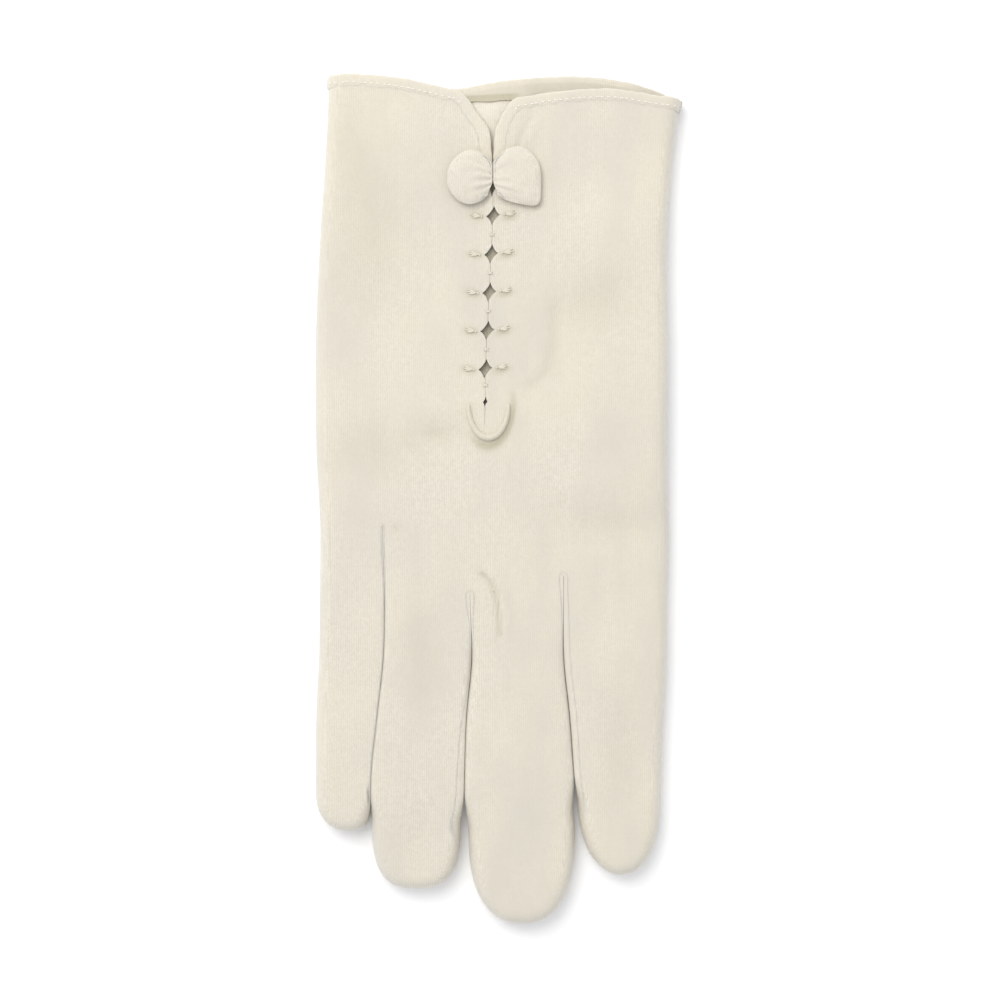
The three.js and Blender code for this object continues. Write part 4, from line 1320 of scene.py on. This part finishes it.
def palm_painted_shade(x, y):
    """Painted shade on the palm where it lies under the diamonds and the closed slit."""
    near = smooth((PALM_PAINTED_SHADE["half_width"] - np.abs(x - slit_x(y))) / PALM_PAINTED_SHADE["fade_across"])
    below_top = smooth((PALM_PAINTED_SHADE["top"] - y) / PALM_PAINTED_SHADE["fade"])
    above_foot = smooth((y - PALM_PAINTED_SHADE["foot"]) / PALM_PAINTED_SHADE["fade"])
    return PALM_PAINTED_SHADE["share"] * near * below_top * above_foot


back = walled(finished("back_cloth", panel(BACK), jersey), WALL, wide_openings(), closed_slit())
paint_shade(back, painted_shade)
palm = walled(finished("palm_cloth", panel(PALM), painted_light_jersey), WALL, thumb_hole(PRISM_LOW))
paint_shade(palm, palm_painted_shade)

# %% [markdown]
# ## The forks
#
# A fork is one strip of cloth that runs up the side of one finger, round the crotch and down the side of
# its neighbour, and ends in a point near each tip. It gives the finger its depth. The strip follows the
# outline, and its two edges are exactly the seams of the panels.

# %% Forks
FORK_STEP = 0.9
FORK_COLUMNS = 18
FORK_UPRIGHT = 0.5  # share of the way on each side of the middle in which the strip stands upright
AT_SEAM = 0.999  # a line that has turned this far lies on the seam and dips with it
TIP_STATIONS = 16  # stations on a fingertip's round
CROTCH_TURNS = np.radians(np.arange(165, 0, -15))  # the stations round the crotch


def down_side(gap, finger):
    """y of the stations from the crotch down to where the fork ends near a fingertip."""
    start = TIP_START[finger]
    tip = start - TIP_LENGTH[finger] * TIP_FADE * np.sin(np.linspace(0, np.pi / 2, TIP_STATIONS))[1:]
    straight = np.linspace(CROTCH_Y[gap], start, round((CROTCH_Y[gap] - start) / FORK_STEP) + 1)
    return np.concatenate([straight, tip])


def fork_line(gap, share):
    """One line along a fork, from tip to tip; share is 1.5 at the back's seam and -1.5 at the palm's."""
    side, turned = BACK if share >= 0 else PALM, max(abs(share) - FORK_UPRIGHT, 0)
    up, down = down_side(gap, gap)[::-1], down_side(gap, gap + 1)
    x_up, depth_up, *out_up = seam_on_side(side, gap, 1, up, turned)
    x_down, depth_down, *out_down = seam_on_side(side, gap + 1, -1, down, turned)
    cosine, sine = np.cos(CROTCH_TURNS), np.sin(CROTCH_TURNS)
    depth_round = np.full(len(CROTCH_TURNS), inset_at(side, turned * CROTCH_ANGLES[gap]))
    x_round = line_x(gap + 1, CROTCH_Y[gap]) + cosine * (CLOSED_GAP / 2 + depth_round)
    y_round = CROTCH_Y[gap] + sine * (CLOSED_GAP / 2 + depth_round)
    x, y = np.concatenate([x_up, x_round, x_down]), np.concatenate([up, y_round, down])
    depth = np.concatenate([depth_up, depth_round, depth_down])
    if turned > AT_SEAM:
        out_x = np.concatenate([out_up[0], -cosine, out_down[0]])
        out_y = np.concatenate([out_up[1], -sine, out_down[1]])
        return dipped(side, x, y, depth, out_x, out_y)
    low, high = (cloth_height(layer, x, y, depth) for layer in (PALM, BACK))
    upright_share = np.interp(share, (-FORK_UPRIGHT, FORK_UPRIGHT), (0, 1))
    return np.stack([x, y, low + (high - low) * upright_share], 1)


def fork(gap):
    bm = bmesh.new()
    shares = (1 + FORK_UPRIGHT) * np.linspace(1, -1, FORK_COLUMNS + 1)
    lines = np.array([fork_line(gap, share) for share in shares])
    last = lines.shape[1] - 1

    def place(u, v):
        return lines[np.rint(v * FORK_COLUMNS).astype(int), np.rint(u * last).astype(int)]

    laid_grid(bm, last, FORK_COLUMNS, place)
    merge(bm)
    bmesh.ops.reverse_faces(bm, faces=bm.faces[:])
    return bm


forks = [walled(finished(f"fork_{name}", fork(gap), jersey), WALL)
         for gap, name in enumerate(CROTCH_NAMES)]

# %% [markdown]
# ## The thumb
#
# The thumb is folded under the palm and hardly shows, so it is a plain flat pouch. A ball is pressed
# into its shape: the distance from pole to pole runs along the thumb, the angle round it gives the
# rounded section. Its upper layer and the palm are cut open where the two are sewn together.

# %% Thumb
THUMB_RISE = THUMB_HEIGHT / 2
THUMB_WALL = 0.6
THUMB_SECTION = 3.0  # squareness of the section
THUMB_END_POWER = {1: 4.0, -1: 2.6}  # squareness of the base and of the tip in plan
THUMB_TAPER = {"loss": 0.12, "from": 20, "length": 30}
THUMB_FULL = 2.2  # how soon its ends reach their full height


def squarish_turn(turn, power):
    """Cosine and sine of a turn, pressed outwards from a circle towards a square."""
    return (np.sign(way) * np.abs(way) ** (2 / power) for way in (np.cos(turn), np.sin(turn)))


def thumb_pouch():
    bm = bmesh.new()
    ball = bmesh.ops.create_uvsphere(bm, u_segments=40, v_segments=48, radius=1)["verts"]
    for vert in ball:
        pole, turn = float(np.clip(vert.co.z, -1, 1)), np.arctan2(vert.co.y, vert.co.x)
        power = THUMB_END_POWER[1 if pole > 0 else -1]
        along = THUMB_LENGTH * (1 - pole) / 2
        narrow = (1 - abs(pole) ** power) ** (1 / power)
        taper = 1 - THUMB_TAPER["loss"] * float(smooth((along - THUMB_TAPER["from"]) / THUMB_TAPER["length"]))
        cosine, sine = squarish_turn(turn, THUMB_SECTION)
        spot = THUMB_BASE + THUMB_ALONG * along + THUMB_ACROSS * THUMB_RADIUS * taper * narrow * cosine
        vert.co = (*spot, THUMB_RISE + THUMB_RISE * min(1, THUMB_FULL * narrow) * sine)
    bmesh.ops.recalc_face_normals(bm, faces=bm.faces[:])
    if bm.calc_volume(signed=True) < 0:
        bmesh.ops.reverse_faces(bm, faces=bm.faces[:])
    return bm


thumb = walled(finished("thumb_cloth", thumb_pouch(), jersey), THUMB_WALL, thumb_hole(THUMB_RISE))

# %% [markdown]
# ## Bands
#
# The hem and the welt are bands of turned cloth: a flattened round section drawn along a line. A grid is
# rolled up into a tube for that. Its ends narrow to a point in a short round, which closes them.

# %% Bands
BAND_AROUND, BAND_POWER = 16, 2.5  # faces round a band, and the squareness of its section


def unit(vectors):
    return vectors / np.linalg.norm(vectors, axis=1)[:, None]


def directions(line):
    return unit(np.gradient(line, axis=0))


def resampled(columns, step):
    """Spreads points evenly along the first three columns, x, y and z, and takes the others along."""
    reach = reach_along(columns[:, :3])
    at = np.linspace(0, reach[-1], max(3, round(reach[-1] / step)) + 1)
    return np.stack([curve_through(reach, column, at) for column in columns.T], 1), at


def band(bm, line, outward, half_width, half_height, around=BAND_AROUND, power=BAND_POWER, end_round=None):
    """Draws a flattened round section along a line. outward says which way its width lies."""
    along = directions(line)
    outward = unit(outward - along * (outward * along).sum(1)[:, None])
    upward = np.cross(outward, along)
    if upward[len(line) // 2, 2] < 0:
        upward = -upward
    reach = reach_along(line)
    from_end = np.minimum(reach, reach[-1] - reach) / (end_round or half_height)
    closing = np.sqrt(np.clip(1 - (1 - np.clip(from_end, 0, 1)) ** 2, 0, 1))
    half_width, half_height = half_width * closing, half_height * closing

    def place(u, v):
        i = np.rint(u * (len(line) - 1)).astype(int)
        cosine, sine = squarish_turn(2 * np.pi * v, power)
        sideways = outward[i] * (half_width[i] * cosine)[:, None]
        return line[i] + sideways + upward[i] * (half_height[i] * sine)[:, None]

    laid_grid(bm, len(line) - 1, around, place)


def closed_up(bm):
    merge(bm)
    bmesh.ops.recalc_face_normals(bm, faces=bm.faces[:])
    return bm


print("a band has", BAND_AROUND, "faces round its section")

# %% [markdown]
# ## The hem
#
# At the cuff the cloth is turned under and stitched down. The hem runs from the V's foot up to the wrist,
# along the wrist to the side seam, along the palm's edge and back down the other side of the V. First
# comes its line in plan, with the direction that points out of the cloth.

# %% The hem's line
V_START, V_TOP, V_STEP = 0.4, 110, 1.2  # the points up the V, from its foot to beyond its head
WRIST_STEP, PALM_STATIONS = 2, 36
CORNER = {"below": 0.8, "beyond": 1.6}  # the V's upper corners are left out, so the line bends softly there
SIDE_DEPTHS = even_along_cloth(8.0, 14)  # the points near a side seam, where the line turns downwards


def wrist_edge(side, x):
    """x, y and outward direction along a layer's edge at the cuff."""
    level = cuff_y(side, x)
    rise = np.gradient(level, x)
    length = np.hypot(rise, 1)
    return np.stack([x, level, -rise / length, 1 / length], 1)


def back_hem(which):
    """x, y and outward direction along one half of the back's edge, from the V's foot to the side."""
    rising = np.arange(SLIT_Y[-1] + V_START, V_TOP, V_STEP)
    edge = curve_through(SLIT_Y, SLIT_X[which], rising)
    rising = rising[rising < cuff_y(BACK, edge) - CORNER["below"]]
    edge = edge[:len(rising)]
    slope = directions(np.stack([edge, rising], 1))
    up_the_v = np.stack([edge, rising, -which * slope[:, 1], which * slope[:, 0]], 1)
    side = float(line_x(0 if which < 0 else 4, CUFF_LEVEL))
    far = side - which * SIDE_DEPTHS[::-1]
    stations = round(abs(far[0] - edge[-1]) / WRIST_STEP)
    near = np.linspace(edge[-1] + which * CORNER["beyond"], far[0], stations)[:-1]
    return np.concatenate([up_the_v, wrist_edge(BACK, np.concatenate([near, far]))])


def palm_hem():
    left, right = float(line_x(0, CUFF_LEVEL)), float(line_x(4, CUFF_LEVEL))
    inner = np.linspace(left + SIDE_DEPTHS[-1], right - SIDE_DEPTHS[-1], PALM_STATIONS)
    across = np.concatenate([left + SIDE_DEPTHS[:-1], inner, (right - SIDE_DEPTHS[:-1])[::-1]])
    return wrist_edge(PALM, across)


print("the hem follows", len(back_hem(-1)) + len(back_hem(1)) + len(palm_hem()), "points")

# %% [markdown]
# ## The hem's band
#
# The line is laid on the cloth and a band is drawn along it, a little thicker than the cloth and never
# quite even, because it is turned by hand.

# %% Hem
HEM_OUT, HEM_HALF_WIDTH, HEM_HALF_HEIGHT = 0.5, 1.7, 0.48
HEM_SQUARE = 3.0
HEM_STEP = 0.55
HEM_RIPPLES = ((0.05, 3.2), (0.04, 7.7))  # height and length of the waves in its width
RIPPLE_UPWARDS = 0.3  # share of them that its height follows
ON_OUTLINE = 0.03  # points closer than this lie on the side seam


def hem_line(side, plan):
    """The hem's line in space with its outward direction, evenly spread, and its own length."""
    depth = distance_to(OUTLINE, plan[:, 0], plan[:, 1])
    depth[depth < ON_OUTLINE] = 0
    z = cloth_height(side, plan[:, 0], plan[:, 1], depth) - side * WALL / 2
    spread, reach = resampled(np.column_stack([plan[:, :2], z, plan[:, 2:]]), HEM_STEP)
    outward = unit(np.column_stack([spread[:, 3:], np.zeros(len(spread))]))
    return spread[:, :3], outward, reach


HEM_LINES = [(BACK, *hem_line(BACK, back_hem(-1))), (BACK, *hem_line(BACK, back_hem(1))),
             (PALM, *hem_line(PALM, palm_hem()))]


def hem():
    bm = bmesh.new()
    for side, line, outward, reach in HEM_LINES:
        ripple = sum(height * np.sin(reach * 2 * np.pi / length) for height, length in HEM_RIPPLES)
        half_width, half_height = HEM_HALF_WIDTH + ripple, HEM_HALF_HEIGHT + RIPPLE_UPWARDS * ripple
        band(bm, line + outward * HEM_OUT, outward, half_width, half_height, power=HEM_SQUARE)
    return closed_up(bm)


cuff_hem = finished("cuff_hem_band", hem(), edging)

# %% [markdown]
# ## The palm's facing
#
# The palm's edge is turned to the inside further than the back's, and its cut edge shows through the V
# as a low step, with a painted shadow along its foot. It is a strip of cloth that lies on the inside of the
# palm, and all of it has a little painted shade.

# %% Facing
FACING_FOOT, FACING_HEAD = -0.9, 0.7  # from the palm's edge, along the hand
FOOT_LINE = (99.5, 0.05)  # y of the facing's foot at the V's left, and its slope across the V
FOOT_FROM = -7.0
FACING_SIDES = 3.0  # how far it stays clear of the side seams
FACING_THICKNESS = 0.5
FACING_CLEAR = 0.05  # over the palm's inner face
FOOT_CURL = 0.15
FOOT_RIPPLE = (0.12, 0.9)  # height of the waves in its raw edge, and radians for each millimetre
FACING_COLUMNS, FACING_ROWS = 110, 10
# painted shade on the whole facing, and a painted shadow along its foot: how high it reaches and where it
# ends
FACING_PAINTED_SHADE, FOOT_PAINTED_SHADOW, FOOT_SHADOW_HEIGHT, FOOT_SHADOW_END = 0.2, 0.9, 1.9, 7.0
HEIGHT_RAMP, END_RAMP = 0.5, 3


def facing():
    bm = bmesh.new()
    left, right = float(line_x(0, CUFF_LEVEL)) + FACING_SIDES, float(line_x(4, CUFF_LEVEL)) - FACING_SIDES

    def place(u, v):
        x = left + u * (right - left)
        edge = cuff_y(PALM, x)
        foot = np.minimum(edge + FACING_FOOT, FOOT_LINE[0] + FOOT_LINE[1] * (x - FOOT_FROM))
        ripple = FOOT_RIPPLE[0] * np.sin(x * FOOT_RIPPLE[1]) * (1 - v)
        y = foot + v * (edge + FACING_HEAD - foot) + ripple
        z = face_height(PALM, x, y) + WALL + FACING_CLEAR + FACING_THICKNESS + FOOT_CURL * (1 - v) ** 2
        return np.stack([x, y, z], 1)

    laid_grid(bm, FACING_COLUMNS, FACING_ROWS, place)
    return bm


def facing_painted_shade(x, y):
    """Painted shade on the facing, and a darker painted shadow band along its foot."""
    from_foot = y - FOOT_LINE[0] - FOOT_LINE[1] * (x - FOOT_FROM)
    at_foot = smooth((FOOT_SHADOW_HEIGHT - from_foot) / HEIGHT_RAMP) * smooth((FOOT_SHADOW_END - x) / END_RAMP)
    return FACING_PAINTED_SHADE + (FOOT_PAINTED_SHADOW - FACING_PAINTED_SHADE) * at_foot


palm_facing = walled(finished("palm_facing", facing(), edging), FACING_THICKNESS)
paint_shade(palm_facing, facing_painted_shade)

# %% [markdown]
# ## Stitches
#
# One stitch is a small grain of thread. It is made as a ball with few faces, stretched along the seam,
# and repeated at the machine's even pitch. The row sits on the hem along the wrist. Up the V the stitches
# would lie inside the roll, so none are made there.

# %% Stitches
HEM_STITCH = (0.5, 0.26, 0.2)  # half length, half width, half height
HEM_PITCH, FIRST_STITCH = 1.5, 2.5
STITCHED_FROM = 0.75  # along the wrist the hem points this much or more along the hand
STITCH_IN = 0.05  # from the pattern's edge towards the cloth


def grain(bm, middle, along, upward, size, segments=8, rings=5):
    """Adds one stretched ball that lies along a direction."""
    along, upward = Vector(along).normalized(), Vector(upward)
    across = upward.cross(along).normalized()
    upward = along.cross(across)
    turn = Matrix((along, across, upward)).transposed().to_4x4()
    matrix = Matrix.Translation(Vector(middle)) @ turn @ Matrix.Diagonal((*size, 1))
    bmesh.ops.create_uvsphere(bm, u_segments=segments, v_segments=rings, radius=1, matrix=matrix)


def hem_stitches():
    bm = bmesh.new()
    for side, line, outward, reach in HEM_LINES:
        along = directions(line)
        for place in np.arange(FIRST_STITCH, reach[-1] - FIRST_STITCH, HEM_PITCH):
            i = int(np.searchsorted(reach, place))
            if abs(outward[i, 1]) < STITCHED_FROM:
                continue
            upward = np.cross(outward[i], along[i])
            upward = upward * (1 if upward[2] * side > 0 else -1)
            spot = line[i] + outward[i] * STITCH_IN + upward * HEM_HALF_HEIGHT
            grain(bm, spot, along[i], upward, HEM_STITCH)
    return bm


hem_thread = finished("hem_stitches", hem_stitches(), thread)

# %% [markdown]
# ## The embroidery of the slit
#
# Below the bow the slit is drawn together into a row of diamond openings. From the two side corners of
# every diamond a small fan of three stitches points outwards from a knot. They are laid on the cloth by
# the same height function as everything else.

# %% Picots
FINE = {"segments": 10, "rings": 7}  # these stitches stand alone, so they get more faces
CORNER_REACH = 2  # how far out the skewed corner of a diamond lies
PICOT_START = 1.0  # from the diamond's corner
PICOT_TILT = np.radians(12)
PICOT_STITCHES = (  # turn in degrees, start and end along the picot
    (-15, 0.6, 2.5),
    (-3, 0.2, 3.1),
    (9, 0.3, 2.9),
)
PICOT_THREAD = (0.26, 0.34)  # half width, half height
PICOT_KNOT = (0.4, 0.24, 0.34)
PICOT_ABOVE, KNOT_ABOVE, KNOT_OUT = 0.16, 0.14, 0.1


def on_back(x, y, above=0.0):
    return np.array((x, y, float(face_height(BACK, x, y)[0]) + above))


def picots():
    bm = bmesh.new()
    for x, y in DIAMONDS:
        for which in (-1, 1):
            corner_y = y + which * DIAMOND_SKEW * CORNER_REACH
            root = np.array((x + which * (DIAMOND_HALF[0] + PICOT_START), corner_y))
            for turn, start, end in PICOT_STITCHES:
                turn = np.radians(turn) + PICOT_TILT
                way = np.array((which * np.cos(turn), np.sin(turn)))
                low, high = (on_back(*(root + way * reach), PICOT_ABOVE) for reach in (start, end))
                size = (float(np.linalg.norm(high - low)) / 2, *PICOT_THREAD)
                grain(bm, (low + high) / 2, high - low, (0, 0, 1), size, **FINE)
            knot = on_back(*(root + np.array((which * KNOT_OUT, 0.0))), KNOT_ABOVE)
            grain(bm, knot, (0, 1, 0), (0, 0, 1), PICOT_KNOT, **FINE)
    return bm


picot_stitches = finished("picot_stitches", picots(), painted_shade_thread)

# %% [markdown]
# ## Bars between the diamonds
#
# A tiny crossed stitch holds each closed stretch of the slit together, so that the diamonds keep their
# shape. It is two grains of thread that lie across the slit, one leaning each way.

# %% Bars
BAR_STITCH = (0.85, 0.22, 0.3)  # half length, half width, half height
BAR_END = (0.7, 0.45)  # half its span across the slit and along it
BAR_ABOVE = 0.1


def slit_bars():
    bm = bmesh.new()
    stops = DIAMONDS + [LAST_DIAMOND]
    for (upper_x, upper_y), (lower_x, lower_y) in zip(stops, stops[1:]):
        x, y = (upper_x + lower_x) / 2, (upper_y + lower_y) / 2
        for lean in (-1, 1):
            ends = [on_back(x + end * BAR_END[0], y + end * lean * BAR_END[1], BAR_ABOVE) for end in (-1, 1)]
            grain(bm, sum(ends) / 2, ends[1] - ends[0], (0, 0, 1), BAR_STITCH, **FINE)
    return bm


bar_stitches = finished("slit_bar_stitches", slit_bars(), painted_shade_thread)

# %% [markdown]
# ## The crescent
#
# The slit ends in a corded welt, bent into a U that stands up from the cloth. It is widest at its foot
# and thins out to two points.

# %% Crescent
WELT_HALF = (0.80, 1.25)
WELT_DULLNESS = 0.28
WELT_TURN, WELT_STATIONS = (-184, 4), 60  # degrees round the U
WELT_ABOVE = 0.3
WELT_ENDS, WELT_SWELL, SWELL_POWER = 0.55, 0.45, 0.7  # its fullness at the ends, and how it grows to the foot
WELT_SECTION = {"around": 14, "power": 2.1, "end_round": 1.6}


def crescent():
    turn = np.radians(np.linspace(*WELT_TURN, WELT_STATIONS))
    x = CRESCENT["x"] + CRESCENT["half_width"] * np.cos(turn)
    y = CRESCENT["y"] + CRESCENT["depth"] * np.sin(turn)
    line = np.stack([x, y, face_height(BACK, x, y) + WELT_ABOVE], 1)
    out = np.stack([np.cos(turn) / CRESCENT["half_width"], np.sin(turn) / CRESCENT["depth"], 0 * turn], 1)
    to_foot = np.sin(np.radians(np.linspace(0, 180, WELT_STATIONS)))
    fullness = WELT_ENDS + WELT_SWELL * to_foot**SWELL_POWER
    bm = bmesh.new()
    band(bm, line, out, WELT_HALF[0] * fullness, WELT_HALF[1] * fullness, **WELT_SECTION)
    return closed_up(bm)


def welt_dullness(x, y):
    """The welt is a little duller all round."""
    return WELT_DULLNESS * np.ones(len(x))


welt = finished("crescent_welt", crescent(), edging)
paint_shade(welt, welt_dullness)

# %% [markdown]
# ## The bow
#
# The bow is a ribbon of the same jersey, laid in two loops and caught together in the middle. The two
# aren't alike: the little finger's loop is round and the index finger's ends squarely, and each has its
# own creases. So each is described by a table of its own.

# %% The bow's loops
REACH = (0.0, 0.2, 0.45, 0.75, 1.0)  # shares of a loop's length at which its two edges are given
LOOPS = {  # a crease is its place across the ribbon, its start and end along the loop, and its height
    "little": {"which": -1, "length": 11.4,
               "top": (4.0, 5.9, 7.0, 7.1, 6.9), "bottom": (4.4, 5.8, 6.6, 6.7, 6.4),
               "square": (2.1, 2.2), "seed": 3.1,
               "creases": ((0.62, 0.20, 0.62, -0.26), (0.30, 0.0, 0.34, -0.26), (0.10, 0.0, 0.46, 0.20),
                           (-0.12, 0.0, 0.42, -0.32), (-0.34, 0.0, 0.40, 0.22), (-0.55, 0.04, 0.46, -0.26))},
    "index": {"which": 1, "length": 12.0,
              "top": (4.0, 6.5, 7.9, 8.0, 7.6), "bottom": (4.4, 5.5, 6.3, 6.9, 7.5),
              "square": (2.3, 6.5), "seed": 9.4,
              "creases": ((0.45, 0.0, 0.30, -0.16), (0.05, 0.0, 0.34, 0.16), (-0.20, 0.0, 0.40, -0.26),
                          (-0.42, 0.02, 0.42, 0.18), (-0.62, 0.05, 0.46, -0.24))},
}
print("the loops are", [loop["length"] for loop in LOOPS.values()], "mm long")

# %% [markdown]
# ## Gathers
#
# A loop leaves the middle in tight gathers that open out. They are creases that fan out along the ribbon,
# with a little slow noise between them, and the far end is pressed into a round or a squarish shape.

# %% Gathers
ROUND_FROM = 0.36  # share of a loop's length at which its far end starts to round off
ROUND_SOON = 4  # the rounding is complete over a quarter of that stretch
CREASE_WIDTH, CREASE_START = 0.085, 0.12
CREASE_FAN = (0.75, 0.5)  # the creases fan out along the loop
SOFT_FOLDS = (0.30, 3.0, 3.8)  # height, and length across and along the hand


def rounded_end(along, across, square):
    """Presses the far end of a loop into a round; square gives the squareness at its top and bottom."""
    tip = np.clip((along - ROUND_FROM) / (1 - ROUND_FROM), 0, 1)
    outwards, sideways = tip * np.sqrt(1 - across**2 / 2), across * np.sqrt(1 - tip**2 / 2)
    angle = np.arctan2(outwards, sideways)
    reach = squarish_reach(angle, np.where(across > 0, *square))
    reach = 1 + (reach - 1) * smooth(tip * ROUND_SOON)
    along = np.where(tip > 0, ROUND_FROM + (1 - ROUND_FROM) * outwards * reach, along)
    return along, sideways * reach


def bow_folds(x, y, along, across, seed, creases):
    """The gathers of a loop and the soft folds between them."""
    softness, length_x, length_y = SOFT_FOLDS
    found = softness * np.array([noise.noise(Vector((a / length_x + seed, b / length_y, 0)))
                                 for a, b in zip(x, y)])
    for middle, start, end, height in creases:
        line = middle * (CREASE_FAN[0] + CREASE_FAN[1] * along)
        here = np.exp(-(((across - line) / CREASE_WIDTH) ** 2))
        begun = smooth((along - start + CREASE_START) / CREASE_START)
        found += height * here * begun * (1 - smooth((along - end / 2) / end))
    return found


print("creases:", [len(loop["creases"]) for loop in LOOPS.values()])

# %% [markdown]
# ## The bow takes shape
#
# A loop goes out on top and turns back underneath, so a grid is rolled once round. Its section is a drop:
# pinched at the middle and a soft cushion further out. Below the middle both loops leave a small notch.

# %% Bow
BOW_X, BOW_Y, BOW_CLEAR = -0.9, 80.2, 0.16
RIBBON = 0.6
LOOP_RISE = 1.62
LOOP_ROUND, LOOP_ACROSS = 84, 60  # faces of a loop
NOTCH = {"width": 1.15, "from": 0.1, "ramp": 0.9, "power": 1.2}
PINCH, PINCH_OPENS, PINCH_END = 0.66, 0.34, 0.4  # share of the height in the gathers, and how it grows
THIN_EDGE, EDGE_POWER, CREASE_EDGE = 0.8, 3.5, 6  # how a loop thins to its edges, and where the folds end
UNDERNEATH, FOLD_RAMP = 0.15, 0.4  # share of the folds on the underside, and how soon they are full


def bow_loop(which, length, top, bottom, square, seed, creases):
    bm = bmesh.new()
    base = float(face_height(BACK, BOW_X, BOW_Y)[0]) + BOW_CLEAR

    def place(u, v):
        turn, across = 2 * np.pi * u, 2 * v - 1
        along = (1 - np.cos(turn)) / 2
        far, side = rounded_end(along, across, square)
        half = np.where(across > 0, curve_through(REACH, top, far), curve_through(REACH, bottom, far))
        lower = smooth((-across - NOTCH["from"]) / NOTCH["ramp"])
        notch = NOTCH["width"] * lower ** NOTCH["power"] * (1 - far)
        x = BOW_X + which * (BOW_CLEAR / 2 + notch + (length - notch) * far)
        y = BOW_Y + side * half
        gathered = PINCH + PINCH_OPENS * smooth(along / PINCH_END)
        cushion = gathered * (1 - THIN_EDGE * np.abs(across) ** EDGE_POWER)
        upper = np.where(np.sin(turn) > 0, 1, UNDERNEATH)
        folds = bow_folds(x, y, along, across, seed, creases)
        folds = folds * upper * smooth(np.abs(np.sin(turn)) / FOLD_RAMP)
        z = base + LOOP_RISE * (1 + np.sin(turn) * cushion) + folds * (1 - across**CREASE_EDGE)
        return np.stack([x, y, z], 1)

    laid_grid(bm, LOOP_ROUND, LOOP_ACROSS, place)
    merge(bm)
    if which < 0:
        bmesh.ops.reverse_faces(bm, faces=bm.faces[:])
    return bm


bows = {name: walled(finished(f"bow_{name}", bow_loop(**loop), jersey), RIBBON)
        for name, loop in LOOPS.items()}

# %% [markdown]
# ## Everything takes its place
#
# Every piece rides on the one body and stands for the solid that it replaces. The threads and the facing
# stand for no solid: they are only seen.

# %% Ride and replace
TAKES_PLACE = (
    (back, "ivory_jersey", ("back_panel",)),
    (palm, "ivory_jersey", ("palm_panel",)),
    *((fork_cloth, "ivory_jersey", (f"fourchette_{name}",)) for fork_cloth, name in zip(forks, CROTCH_NAMES)),
    (thumb, "ivory_jersey", ("thumb",)),
    (cuff_hem, "ivory_edging", ("cuff_hem",)),
    (palm_facing, "ivory_edging", ()),
    (hem_thread, "ivory_edging", ()),
    (picot_stitches, "ivory_edging", ()),
    (bar_stitches, "ivory_edging", ()),
    (welt, "ivory_edging", ("slit_end_crescent",)),
    (bows["little"], "ivory_jersey", ("bow_loop_little_side",)),
    (bows["index"], "ivory_jersey", ("bow_loop_index_side",)),
)
for piece, finish_slot, nodes in TAKES_PLACE:
    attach(piece, "root")
    if nodes:
        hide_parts(*nodes)
print(len(TAKES_PLACE), "pieces ride on the body")

# %% [markdown]
# ## How the cloth was cut
#
# The panels, the forks, the thumb, the facing and the bow's ribbon are sheets of cloth. Each is listed
# with the smallest rectangle that it is cut from, in metres, with its cut area, with what holds it and
# with the pieces that it rests on. The sizes follow the outline, with what is turned in at the seams.

# %% Flat sizes of the cloth
CM2 = 1e-4
FORK_CUTS = (((0.016, 0.145), 17.0), ((0.016, 0.132), 15.0), ((0.016, 0.132), 15.0))
SHEETS = (  # the piece, its width and length, its area in cm2, how it is held, and what it rests on
    (back, (0.125, 0.222), 230.0, "laid", [palm, *forks]),
    (palm, (0.115, 0.222), 210.0, "laid", [thumb]),
    *((fork_cloth, *cut, "stretched", [back, palm]) for fork_cloth, cut in zip(forks, FORK_CUTS)),
    (thumb, (0.052, 0.060), 27.0, "folded", [palm]),
    (palm_facing, (0.010, 0.090), 3.5, "folded", [palm]),
    (bows["little"], (0.014, 0.026), 3.0, "folded", [back]),
    (bows["index"], (0.016, 0.027), 3.5, "folded", [back]),
)
for cloth, flat, area, held, rests_on in SHEETS:
    area * CM2
print(len(SHEETS), "pieces are declared as sheets")

# %% [markdown]
# ## The dressed glove's box
#
# The box round the dressed glove is printed, in millimetres.

# %% Sizes and the end
seen_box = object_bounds()
extent = [round((high - low) / MM, 1) for low, high in zip(*seen_box)]
print("the dressed glove measures", extent, "mm")
